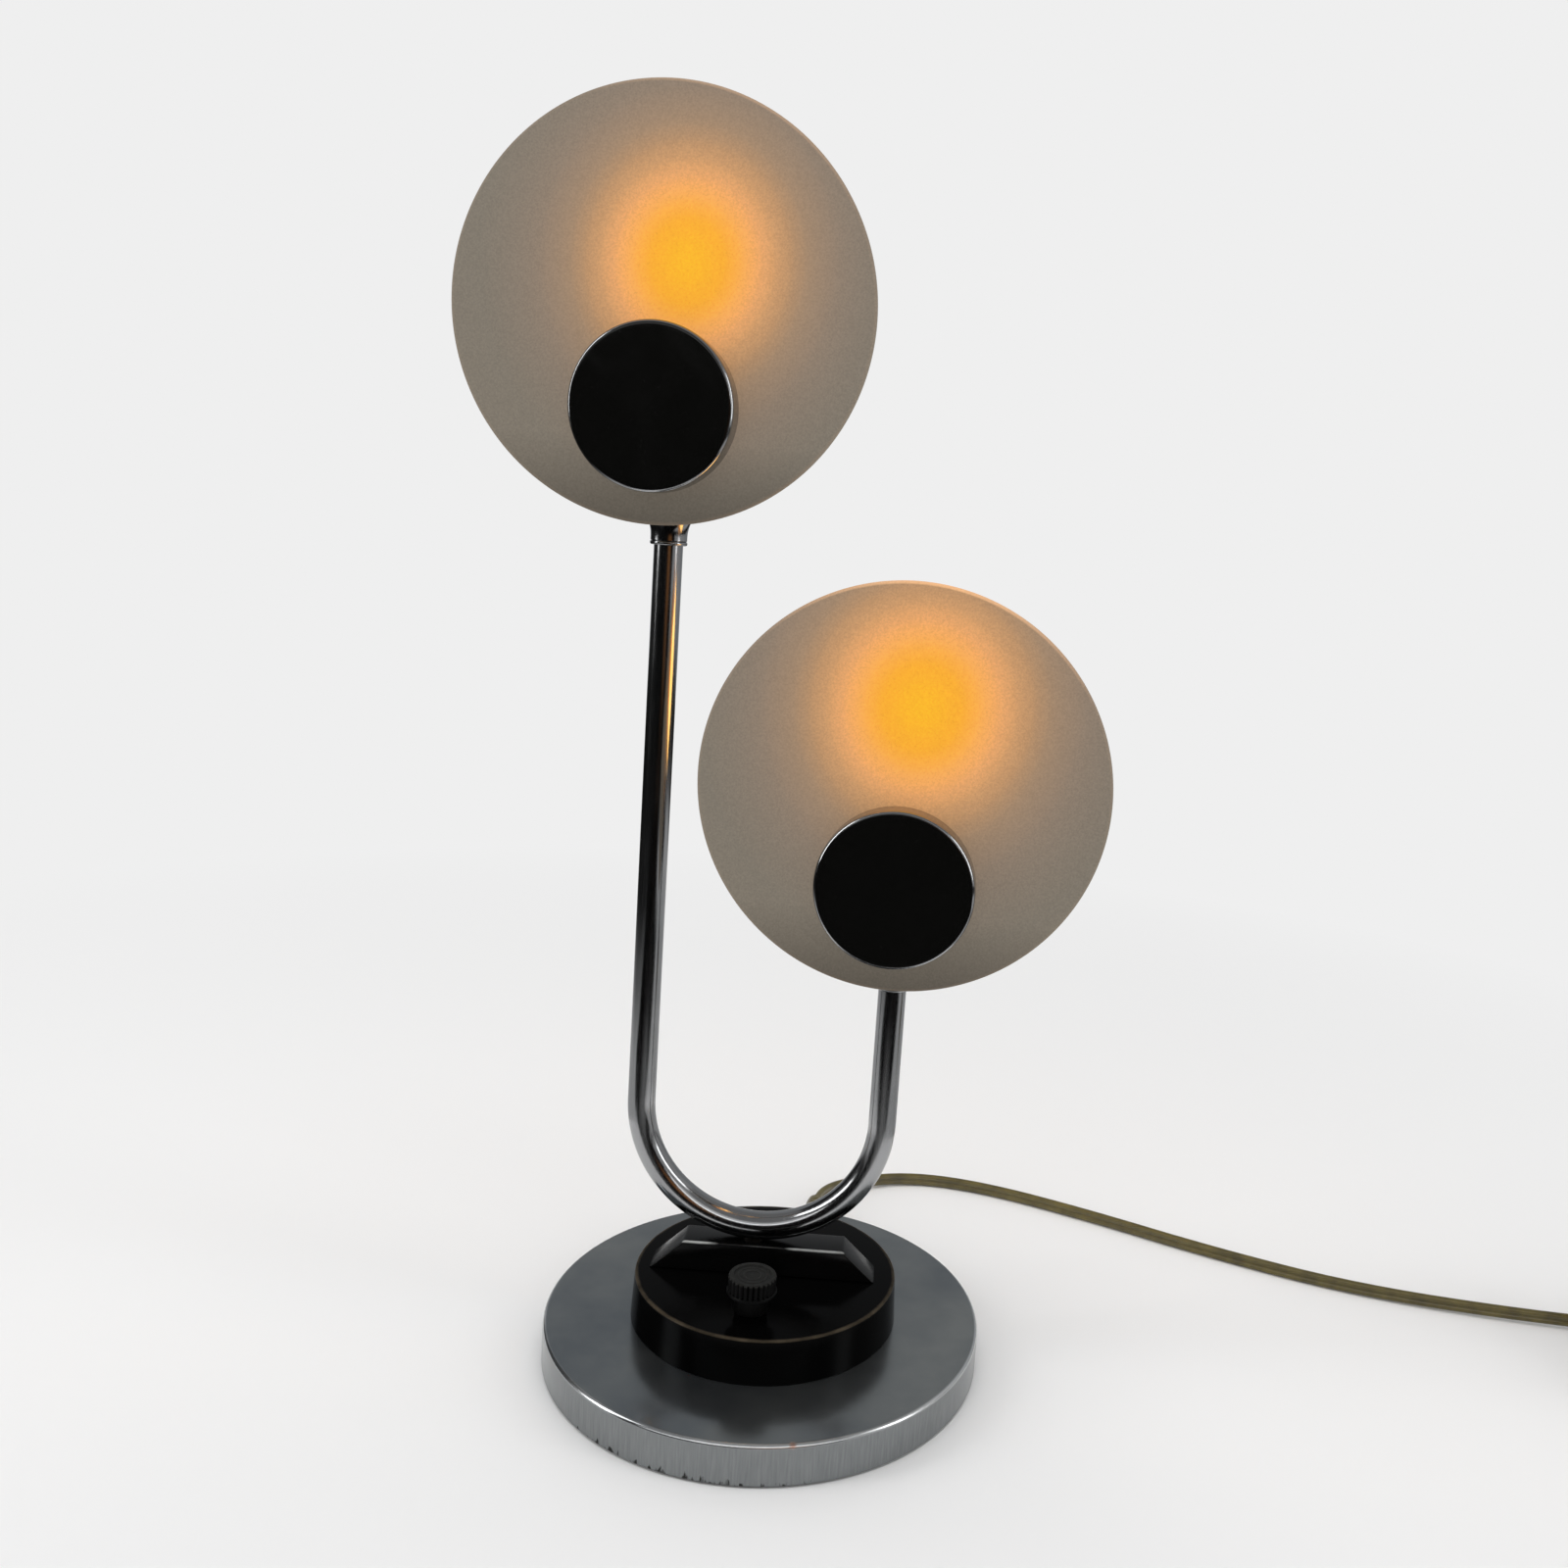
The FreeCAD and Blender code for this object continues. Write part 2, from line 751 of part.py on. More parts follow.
def candle_bulb(side, x, cup):
    name = side.capitalize()
    screw = turned(
        name + "Screw",
        [
            ("0", "0"),
            ("tip_radius", "0"),
            ("tip_radius", "tip_height"),
            ("screw_radius", "skirt_height"),
            ("screw_radius", "screw_height"),
            ("0", "screw_height"),
        ],
        x=x,
        z=cup + " + contact_top",
    )
    keep(screw, side + "_bulb_screw_cap")
    envelope = turned(
        name + "Bulb",
        [
            ("neck_radius - bulb_wall", "0"),
            ("neck_radius", "0"),
            ("neck_radius", "neck_height", "+lower_bulb_arc"),
            ("bulb_radius", "bulb_widest", "+upper_bulb_arc"),
            ("bulb_shoulder_radius", "bulb_shoulder", "+bulb_tip_arc"),
            ("0", "bulb_height"),
            ("0", "bulb_height - bulb_wall", "-bulb_tip_inside"),
            ("bulb_shoulder_radius - bulb_wall", "bulb_shoulder", "-upper_bulb_arc"),
            ("bulb_radius - bulb_wall", "bulb_widest", "-lower_bulb_arc"),
            ("neck_radius - bulb_wall", "neck_height"),
        ],
        x=x,
        z=cup + " + bulb_foot",
    )
    keep(envelope, side + "_bulb_glass")


def glass_head(side, x, height):
    """Stud on the front of the cup with the glass between two soft washers, held by the cap."""
    name = side.capitalize()
    stud_end = "cap_seat + thread_depth"
    blank = turned(
        name + "StudBlank",
        [
            ("0", "cup_radius / 2"),
            ("shoulder_radius", "cup_radius / 2"),
            ("shoulder_radius", "shoulder_face"),
            ("stud_radius", "shoulder_face"),
            ("stud_radius", stud_end),
            ("0", stud_end),
        ],
        x=x,
        z=height,
        turn=FORWARD,
    )
    saddle = cylinder(
        name + "Saddle", "cup_radius", "4 * shoulder_radius", x=x, z=height + " - 2 * shoulder_radius"
    )
    keep(cut(name + "Stud", blank, saddle), side + "_glass_stud")
    for place_name, y in (("rear", "shoulder_face"), ("front", "glass_front")):
        soft = washer(
            name + place_name.capitalize() + "Washer",
            "soft_radius",
            "stud_radius + fit_clear",
            "soft_washer",
            x=x,
            y="-(%s)" % y,
            z=height,
            turn=FORWARD,
        )
        keep(soft, "%s_%s_washer" % (side, place_name))
    disc = turned(
        name + "Glass",
        [
            ("0", "0"),
            ("glass_radius - glass_thick / 2", "0", "+glass_thick / 2"),
            ("glass_radius", "glass_thick / 2", "+glass_thick / 2"),
            ("glass_radius - glass_thick / 2", "glass_thick"),
            ("0", "glass_thick"),
        ],
        x=x,
        y="-(glass_back)",
        z=height + " + glass_drop",
        turn=FORWARD,
    )
    pocket(disc, "XY_Plane", lambda s: circle(s, "0", "-glass_drop", "glass_hole"), "glass_thick")
    keep(disc, side + "_glass_disc")
    floor = "cap_height - cap_wall"
    cap = turned(
        name + "Cap",
        [
            ("0", "thread_depth + thread_spare"),
            ("stud_radius + fit_clear", "thread_depth + thread_spare"),
            ("stud_radius + fit_clear", "0"),
            ("cap_boss", "0"),
            ("cap_boss", floor),
            ("cap_radius - cap_wall", floor),
            ("cap_radius - cap_wall", "cap_height - cap_skirt"),
            ("cap_radius", "cap_height - cap_skirt"),
            ("cap_radius", "cap_height - cap_edge", "+cap_edge"),
            ("cap_radius - cap_edge", "cap_height"),
            ("0", "cap_height"),
        ],
        x=x,
        y="-(cap_seat)",
        z=height,
        turn=FORWARD,
    )
    keep(cap, side + "_glass_cap")


# Wires and flex: round tubes along straight runs and tangent arcs


def spot(x, y, z):
    return FreeCAD.Vector(x, y, z)


def tube(label, edges, radius):
    """Sweeps a circle along the edges and compares the volume with section times length."""
    path = Part.Wire(edges)
    first = edges[0]
    start, way = first.valueAt(first.FirstParameter), first.tangentAt(first.FirstParameter)
    section = Part.Wire([Part.makeCircle(radius, start, way)])
    solid = path.makePipeShell([section], True, False)
    expected = math.pi * radius**2 * path.Length
    print("%s: length %.1f mm, volume ratio %.4f" % (label, path.Length, solid.Volume / expected))
    assert abs(solid.Volume / expected - 1) < 0.01, label + ": the tube isn't its section times its length"
    piece = doc.addObject("Part::Feature", label)
    piece.Shape = solid
    return keep(piece, label)


def rounded_route(label, points):
    """Runs between points, each corner an arc as large as 0.45 of its runs allows, or 0.9 of the first."""
    edges, here = [], points[0]
    for before, corner, after in zip(points, points[1:], points[2:]):
        back, ahead = (before - corner).normalize(), (after - corner).normalize()
        share = 0.45 if edges else 0.9
        reach = min(share * (before - corner).Length, 0.45 * (after - corner).Length)
        half = (math.pi - back.getAngle(ahead)) / 2
        print("%s: bend radius %.1f mm" % (label, reach / math.tan(half)))
        enter, leave = corner + back * reach, corner + ahead * reach
        bisector = (back + ahead).normalize()
        depth = reach / math.cos(math.pi / 2 - half) - reach / math.tan(half)
        edges.append(Part.LineSegment(here, enter).toShape())
        edges.append(Part.Arc(enter, corner + bisector * depth, leave).toShape())
        here = leave
    edges.append(Part.LineSegment(here, points[-1]).toShape())
    return edges


def tangent_arc(start, way, stop):
    """The arc that leaves start along way and ends at stop."""
    chord = stop - start
    normal = chord - way * chord.dot(way)
    if normal.Length < 1e-6:
        return Part.LineSegment(start, stop).toShape()
    normal.normalize()
    radius = chord.dot(chord) / (2 * chord.dot(normal))
    centre = start + normal * radius
    middle = ((start + stop) / 2 - centre).normalize() * abs(radius)
    if way.dot(chord) < 0:
        middle = middle * -1
    return Part.Arc(start, centre + middle, stop).toShape()


def biarc(start, start_way, stop, stop_way):
    """Two tangent arcs from one place and direction to another."""
    chord, both = stop - start, start_way + stop_way
    turn = 2 * (1 - start_way.dot(stop_way))
    reach = chord.dot(chord) / (2 * chord.dot(both))
    if turn > 1e-9:
        reach = (math.sqrt(chord.dot(both) ** 2 + turn * chord.dot(chord)) - chord.dot(both)) / turn
    joint = (start + stop + (start_way - stop_way) * reach) / 2
    second = tangent_arc(stop, stop_way * -1, joint)
    return [tangent_arc(start, start_way, joint), second]


def stem_wire(side, x, cup, way):
    """One lead: up the hollow stud, round the bend against its outer wall and up the limb."""
    centre = spot(-amount("stem_offset"), 0, amount("bend_centre"))
    sweep, small = amount("bend_radius + wire_inset"), amount("wire_bend")
    inset = amount("wire_spacing / 2")
    drop = math.sqrt((sweep + small) ** 2 - (inset + small) ** 2)
    elbow = centre + spot(way * (inset + small), 0, -drop)
    joint = elbow + (centre - elbow) * (small / (sweep + small))
    start = centre + spot(way * inset, 0, amount("felt_thick + nut_room_height / 2") - centre.z)
    turn = centre + spot(way * inset, 0, elbow.z - centre.z)
    limb = centre + spot(way * sweep, 0, 0)
    top = spot(limb.x, 0, amount(cup + " + cup_floor") + amount("tube_entry") - 0.2)
    corner = (turn + joint) / 2 - elbow
    middle = (joint + limb) / 2 - centre
    edges = [
        Part.LineSegment(start, turn).toShape(),
        Part.Arc(turn, elbow + corner.normalize() * small, joint).toShape(),
        Part.Arc(joint, centre + middle.normalize() * sweep, limb).toShape(),
        Part.LineSegment(limb, top).toShape(),
    ]
    tube(side + "_lamp_wire", edges, amount("wire_radius"))


def cord_bush():
    back, face = "bush_inside + base_wall", "bush_inside + base_wall + bush_flange"
    hole = "flex_radius + exit_clear"
    bush = turned(
        "CordBush",
        [
            (hole, "0"),
            ("bush_plug_radius", "0"),
            ("bush_plug_radius", back),
            ("bush_flange_radius", back),
            ("bush_flange_radius", face),
            ("relief_root", face),
            ("relief_tip", face + " + relief_length"),
            (hole, face + " + relief_length"),
        ],
        x="exit_x",
        y="base_radius - bush_inside - base_wall",
        z="exit_z",
        turn=BACKWARD,
    )
    keep(bush, "cord_bush")
    inner = cylinder(
        "FlexInner", "flex_radius", "exit_y - inner_end", x="exit_x", y="inner_end", z="exit_z", turn=BACKWARD
    )
    keep(inner, "flex_inner_end")


def flex_lead():
    """The free stretch: straight back out of the bush, down to the table and off to the right."""
    level, foot = amount("flex_level"), amount("coil_foot")
    join_x, join_y = amount("coil_x - 2 * flex_radius"), amount("coil_y + coil_radius")
    exit_y = amount("exit_y")
    points = [
        spot(amount("exit_x"), exit_y, amount("exit_z")),
        spot(amount("exit_x"), exit_y + 8.6, amount("exit_z")),
        spot(amount("exit_x") + 12.0, exit_y + 29.4, 3.8),
        spot(45.0, exit_y + 43.0, level),
        spot(80.0, exit_y + 40.5, level),
        spot(127.0, exit_y + 24.5, level),
        spot(182.0, exit_y + 1.0, level),
        spot(239.0, join_y + 8.0, level),
        spot(join_x - 58.5, join_y, foot),
        spot(join_x, join_y, foot),
    ]
    tube("flex_lead", rounded_route("flex_lead", points), amount("flex_radius"))


def flex_coil():
    """Piled turns: in and out again by layers, then a rising half turn to the plug on top."""
    centre = spot(amount("coil_x"), amount("coil_y"), amount("coil_foot"))
    outer, pitch = amount("coil_radius"), amount("coil_pitch")
    rise = amount("plug_axis - coil_top")
    steps = COIL_LAYERS * STEPS_PER_LAYER
    step_turn = TURNS_PER_LAYER / STEPS_PER_LAYER

    def station(i):
        """Place and direction at one step: layers alternate inward and outward, and climb at each end."""
        layer, into = divmod(i, STEPS_PER_LAYER)
        inward = into if layer % 2 == 0 else STEPS_PER_LAYER - into
        radius = outer - pitch * step_turn * inward
        angle = math.pi / 2 - 2 * math.pi * step_turn * i
        height, slope, drift = layer * pitch, 0.0, -pitch if layer % 2 == 0 else pitch
        if into == 0:
            drift = 0.0
            if 0 < i < steps:
                height, slope = (layer - 0.5) * pitch, pitch
        if i == steps:
            height, slope = (layer - 1) * pitch + rise / 2, rise
        out = spot(math.cos(angle), math.sin(angle), 0)
        along = spot(math.sin(angle), -math.cos(angle), 0)
        length = 2 * math.pi * radius
        way = along + out * (drift / length) + spot(0, 0, slope / (step_turn * length))
        return centre + out * radius + spot(0, 0, height), way.normalize()

    stations = [station(i) for i in range(steps + 1)]
    diameter = 2 * amount("flex_radius")
    first = stations[0][0]
    edges = [Part.LineSegment(first - spot(diameter, 0, 0), first).toShape()]
    plug_x, plug_y, plug_z = (amount(text) for text in ("plug_x", "plug_y", "plug_axis"))
    stations.append((spot(plug_x, plug_y - diameter, plug_z), spot(0, 1, 0)))
    for (start, start_way), (stop, stop_way) in zip(stations, stations[1:]):
        edges += biarc(start, start_way, stop, stop_way)
    edges.append(Part.LineSegment(stations[-1][0], spot(plug_x, plug_y, plug_z)).toShape())
    coil = tube("flex_coil", Part.sortEdges(edges)[0], amount("flex_radius"))
    print("flex_coil: least gap to itself %.2f mm" % least_gap(edges, diameter))
    return coil


def least_gap(edges, diameter):
    """Least distance between places on the path that are over four diameters apart along it."""
    path, spacing = Part.Wire(Part.sortEdges(edges)[0]), 2.0
    places = path.discretize(Distance=spacing)
    apart = int(4 * diameter / spacing)
    return min(
        a.distanceToPoint(b) for i, a in enumerate(places) for b in places[i + apart :]
    ) - diameter


def coil_tie():
    """A flat strap round the bundle of turns, on the side away from the lamp."""
    inside = "coil_radius - coil_pitch * %g - flex_radius - tie_clear" % TURNS_PER_LAYER
    wide = "coil_pitch * %g + 2 * (flex_radius + tie_clear)" % TURNS_PER_LAYER
    tall = "coil_top - coil_foot + 2 * flex_radius + tie_clear"
    foot = dict(y="coil_y - tie_width / 2")
    strap = block(
        "TieOutside",
        wide + " + 2 * tie_thick",
        "tie_width",
        tall + " + 2 * tie_thick",
        x="coil_x + %s - tie_thick" % inside,
        **foot,
    )
    hole = block("TieInside", wide, "tie_width", tall, x="coil_x + " + inside, z="tie_thick", **foot)
    keep(cut("CoilTie", strap, hole), "coil_tie")


def plug():
    """Moulded two-blade plug lying on the coil, its blades pointing away from the lamp."""
    body_y = "plug_y + plug_relief"
    case = block(
        "PlugBlank",
        "plug_width",
        "plug_length",
        "plug_thick",
        x="plug_x - plug_width / 2",
        y=body_y,
        z="plug_axis - plug_thick / 2",
    )
    doc.recompute()
    soft = doc.addObject("Part::Fillet", "PlugCase")
    soft.Base = case
    radius = amount("plug_edge")
    soft.Edges = [(i + 1, radius, radius) for i in range(len(case.Shape.Edges))]
    sleeve = doc.addObject("Part::Cone", "PlugRelief")
    bind(sleeve, "Radius1", "plug_relief_tip")
    bind(sleeve, "Radius2", "plug_relief_root")
    bind(sleeve, "Height", "plug_relief")
    place(sleeve, x="plug_x", y="plug_y", z="plug_axis", turn=BACKWARD)
    keep(fused("PlugBody", [soft, sleeve]), "plug_body")
    blades = [
        block(
            "Blade%d" % i,
            "blade_thick",
            "blade_length",
            "blade_width",
            x="plug_x %s blade_spacing / 2 - blade_thick / 2" % sign,
            y=body_y + " + plug_length",
            z="plug_axis - blade_width / 2",
        )
        for i, sign in enumerate("+-", start=1)
    ]
    pair = doc.addObject("Part::Compound", "PlugBlades")
    pair.Links = blades
    keep(pair, "plug_blades")


base_shell()
base_weight()
base_felt()
dimmer_housing()
bridge_block()
stem_tube()
stem_nipple()
dimmer()
control_knob()
for side, direction in (("upper", -1), ("lower", 1)):
    limb_x, cup_foot, stud_height = side + "_x", side + "_cup", side + "_stud_height"
    lampholder(side, limb_x, cup_foot)
    candle_bulb(side, limb_x, cup_foot)
    glass_head(side, limb_x, stud_height)
    stem_wire(side, limb_x, cup_foot, direction)
cord_bush()
flex_lead()
flex_coil()
coil_tie()
plug()
doc.recompute()

for thing in doc.Objects:
    assert not {"Invalid", "Error"} & set(thing.State), "%s failed: %s" % (thing.Name, thing.State)
for thing in nodes:
    assert not thing.Shape.isNull() and thing.Shape.isValid(), thing.Label + " isn't a valid shape"
    assert thing.Shape.Solids, thing.Label + " has no solid"

os.makedirs("parts", exist_ok=True)
for thing in nodes:
    thing.Shape.exportStep("parts/%s.step" % thing.Label)
print("%d pieces written" % len(nodes))
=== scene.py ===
import math

import bmesh
import bpy
from mathutils import Matrix, Vector


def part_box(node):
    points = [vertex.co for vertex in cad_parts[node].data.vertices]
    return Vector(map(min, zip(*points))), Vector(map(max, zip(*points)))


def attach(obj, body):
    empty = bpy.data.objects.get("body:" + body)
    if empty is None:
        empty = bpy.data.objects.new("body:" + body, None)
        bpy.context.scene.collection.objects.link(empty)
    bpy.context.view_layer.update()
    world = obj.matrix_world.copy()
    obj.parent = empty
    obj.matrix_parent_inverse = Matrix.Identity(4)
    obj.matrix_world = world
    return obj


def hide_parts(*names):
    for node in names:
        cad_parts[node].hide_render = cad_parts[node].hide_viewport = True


# Looks of the twin-disc table lamp: worn chrome, black phenolic, etched glass lit from behind by candle
# bulbs, and a gold twin flex. Lengths of the lamp are millimetres and those of the studio metres, with +Z up
# and the front towards -Y.

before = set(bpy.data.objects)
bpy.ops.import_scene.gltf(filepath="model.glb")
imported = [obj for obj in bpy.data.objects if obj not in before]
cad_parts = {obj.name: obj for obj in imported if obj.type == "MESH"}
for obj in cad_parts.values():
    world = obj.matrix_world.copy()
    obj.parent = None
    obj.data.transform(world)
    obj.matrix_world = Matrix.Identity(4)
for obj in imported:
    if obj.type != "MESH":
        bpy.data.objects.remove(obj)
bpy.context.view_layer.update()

MM = 0.001
UPRIGHT = Matrix.Identity(4)
FORWARD = Matrix.Rotation(math.radians(90), 4, "X")
BACKWARD = Matrix.Rotation(math.radians(-90), 4, "X")
SIDEWAYS = Matrix.Rotation(math.radians(90), 4, "Y")
HEADS = ("upper", "lower")
WELD = 0.001  # points nearer than this are merged

# Measures that several pieces or materials share
TUBE_RADIUS = 5.0
TUBE_BORE = 5.02  # of the rings and cups that the tube goes through
TUBE_IN_CUP = 17.0
BASE_RADIUS = 80.0
BRIDGE_DEEP = 12.4
BRIDGE_ASKEW = math.radians(4.0)  # turn of the bridge against the stem

# Camera: a hand-held view, a little right of the lamp and leaning, level with the upper disc's lower edge
CAMERA_PLACE = (68.99, -482.93, 305.25)
CAMERA_YAW = 3.7625
CAMERA_PITCH = 8.672
CAMERA_ROLL = 4.312
CAMERA_LENS = 32.2403
CAMERA_SHIFT = (-0.07771, -0.025)

# Studio: colours of the backdrop as it is seen and mirrored, and of the fill light that it gives
BACKDROP = "#EFEFEF"
AMBIENT = "#C4C4C4"


# Measures and shapes


def span(node):
    """A piece's lowest corner, highest corner and middle, in millimetres."""
    low, high = (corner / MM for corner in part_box(node))
    return low, high, (low + high) / 2


def arc(start, stop, leave=None, arrive=None, steps=10):
    """Points after start, up to stop, of the arc that leaves or arrives along a heading in degrees."""
    chord = Vector(stop) - Vector(start)
    slant = math.atan2(chord.y, chord.x)
    bend = slant - math.radians(leave) if arrive is None else math.radians(arrive) - slant
    bend = (bend + math.pi) % (2 * math.pi) - math.pi
    heading = slant - bend
    points = []
    for step in range(1, steps + 1):
        turned = bend * step / steps
        reach = chord.length * math.sin(turned) / math.sin(bend)
        away = Vector((math.cos(heading + turned), math.sin(heading + turned)))
        points.append(tuple(Vector(start) + away * reach))
    return points


def lathe(outline, steps, closed=False):
    """A shape turned round +Z from (radius, height) points; closed joins the last point to the first."""
    bm = bmesh.new()
    corners = [bm.verts.new((radius, 0.0, height)) for radius, height in outline]
    edges = [bm.edges.new(pair) for pair in zip(corners, corners[1:])]
    if closed:
        edges.append(bm.edges.new((corners[-1], corners[0])))
    bmesh.ops.spin(
        bm,
        geom=corners + edges,
        axis=(0, 0, 1),
        cent=(0, 0, 0),
        angle=2 * math.pi,
        steps=steps,
        use_merge=True,
    )
    bmesh.ops.remove_doubles(bm, verts=bm.verts, dist=WELD)
    bmesh.ops.recalc_face_normals(bm, faces=bm.faces)
    return bm


def slab(size, edge, segments=3):
    """A block of that size round the origin with rounded edges."""
    bm = bmesh.new()
    bmesh.ops.create_cube(bm, size=1.0, matrix=Matrix.Diagonal((*size, 1.0)))
    round_edges(bm, bm.edges, edge, segments)
    return bm


def round_edges(bm, edges, edge, segments):
    """Rounds some edges of a shape with that radius."""
    bmesh.ops.bevel(
        bm,
        geom=list(edges),
        offset=edge,
        offset_type="OFFSET",
        segments=segments,
        profile=0.5,
        affect="EDGES",
        material=-1,
        clamp_overlap=True,
    )


def move(bm, to, turn=UPRIGHT):
    """Turns a shape about the origin and carries it to a place."""
    bmesh.ops.transform(bm, matrix=Matrix.Translation(Vector(to)) @ turn, verts=bm.verts)
    return bm


def join(bm, *others):
    """Adds the other shapes to the first one."""
    for other in others:
        part = bpy.data.meshes.new("joined")
        other.to_mesh(part)
        other.free()
        bm.from_mesh(part)
        bpy.data.meshes.remove(part)
    return bm


def paint(bm, index, inside):
    """Gives a material's index to the faces whose middle is inside."""
    for face in bm.faces:
        if inside(face.calc_center_median()):
            face.material_index = index
    return bm


def piece(name, bm, finishes, nodes, body="root", crease=32.0):
    """Turns a millimetre shape into a shown piece that rides on a body and stands for its nodes."""
    bmesh.ops.scale(bm, vec=(MM, MM, MM), verts=bm.verts)
    mesh = bpy.data.meshes.new(name)
    bm.to_mesh(mesh)
    bm.free()
    for finish in finishes:
        mesh.materials.append(finish)
    mesh.shade_smooth()
    mesh.set_sharp_from_angle(angle=math.radians(crease))
    made = bpy.data.objects.new(name, mesh)
    bpy.context.scene.collection.objects.link(made)
    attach(made, body)
    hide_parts(*nodes)
    return made


# Materials


def hex_colour(code):
    """An sRGB hex colour as linear RGBA."""
    channels = [int(code[place : place + 2], 16) / 255 for place in (1, 3, 5)]
    linear = [c / 12.92 if c <= 0.04045 else ((c + 0.055) / 1.055) ** 2.4 for c in channels]
    return (*linear, 1.0)


def per(size):
    """The texture scale that makes a pattern's features this many millimetres wide."""
    return 1.0 / (size * MM)


def fill(tree, node, inputs):
    """Sets a node's sockets to values, or links them to sockets or to other nodes' first outputs."""
    for name, value in inputs.items():
        if isinstance(value, bpy.types.Node):
            value = value.outputs[0]
        if isinstance(value, bpy.types.NodeSocket):
            tree.links.new(value, node.inputs[name])
        else:
            node.inputs[name].default_value = value


def add(tree, kind, inputs=None, stops=(), **settings):
    """Adds a node with its settings, ramp stops, values and links."""
    node = tree.nodes.new("ShaderNode" + kind)
    for name, value in settings.items():
        setattr(node, name, value)
    for number, (position, colour) in enumerate(stops):
        ramp = node.color_ramp.elements
        stop = ramp[number] if number < 2 else ramp.new(position)
        stop.position = position
        stop.color = hex_colour(colour)
    fill(tree, node, inputs or {})
    return node


def material(name, **values):
    """A node material with constant values on its shader; gives it, its tree, shader and coordinates."""
    made = bpy.data.materials.new(name)
    made.use_nodes = True
    tree = made.node_tree
    shader = tree.nodes["Principled BSDF"]
    fill(tree, shader, {key.replace("_", " "): value for key, value in values.items()})
    return made, tree, shader, add(tree, "TexCoord").outputs["Object"]


def between(start, stop, low=0.0, high=1.0):
    """Inputs that map a length from start to stop, in millimetres, onto low to high."""
    return {"From Min": start * MM, "From Max": stop * MM, "To Min": low, "To Max": high}


def spread(low, high, start=0.3, stop=0.7):
    """Inputs that map start to stop, at first a noise's usual range, onto low to high."""
    return {"From Min": start, "From Max": stop, "To Min": low, "To Max": high}


def distance_from(tree, place, spot, squeeze=1.0):
    """Distance from a point of a plane that faces the front, as (x, z) in millimetres; squeeze narrows its
    rings."""
    centred = add(tree, "VectorMath", {0: place, 1: (spot[0] * MM, 0.0, spot[1] * MM)}, operation="SUBTRACT")
    flat = add(tree, "VectorMath", {0: centred, 1: (squeeze, 0.0, 1.0)}, operation="MULTIPLY")
    return add(tree, "VectorMath", {0: flat}, operation="LENGTH").outputs["Value"]


def upper_edge(tree, axes, across, up):
    """Mask of a turned part's upper edge, from the inputs that map the radius and the height onto 0 to 1."""
    flat = add(tree, "CombineXYZ", {"X": axes.outputs["X"], "Y": axes.outputs["Y"]})
    radius = add(tree, "VectorMath", {0: flat}, operation="LENGTH")
    outer = add(tree, "MapRange", {"Value": radius.outputs["Value"], **across})
    raised = add(tree, "MapRange", {"Value": axes.outputs["Z"], **up})
    return add(tree, "Math", {0: outer, 1: raised}, operation="MULTIPLY")


def polished_chrome():
    """Chrome plate on drawn steel tube: a dark mirror with faint lengthwise polishing lines, drawn coarse
    enough to show, and haze."""
    made, tree, shader, place = material("polished_chrome_plate", Metallic=1.0)
    haze = add(tree, "TexNoise", {"Vector": place, "Scale": per(30.0), "Detail": 5.0})
    along = add(tree, "Mapping", {"Vector": place, "Scale": (1.0, 1.0, 0.03)})
    lines = add(tree, "TexNoise", {"Vector": along, "Scale": per(0.6), "Detail": 3.0})
    tint = add(tree, "ValToRGB", {"Fac": haze}, stops=[(0.3, "#97989A"), (0.7, "#ABACAD")])
    dull = add(tree, "MapRange", {"Value": lines, **spread(0.12, 0.21, 0.35, 0.75)})
    bump = add(tree, "Bump", {"Height": lines, "Strength": 0.05, "Distance": 0.05 * MM})
    fill(tree, shader, {"Base Color": tint, "Roughness": dull, "Normal": bump})
    return made


# Where the base's front edge is worn through, and the middle of the chipped stretch at its foot, in radians
WORN_SPOT = (23.0, -75.9, 14.5)
KNOCKED_ANGLE = -1.75


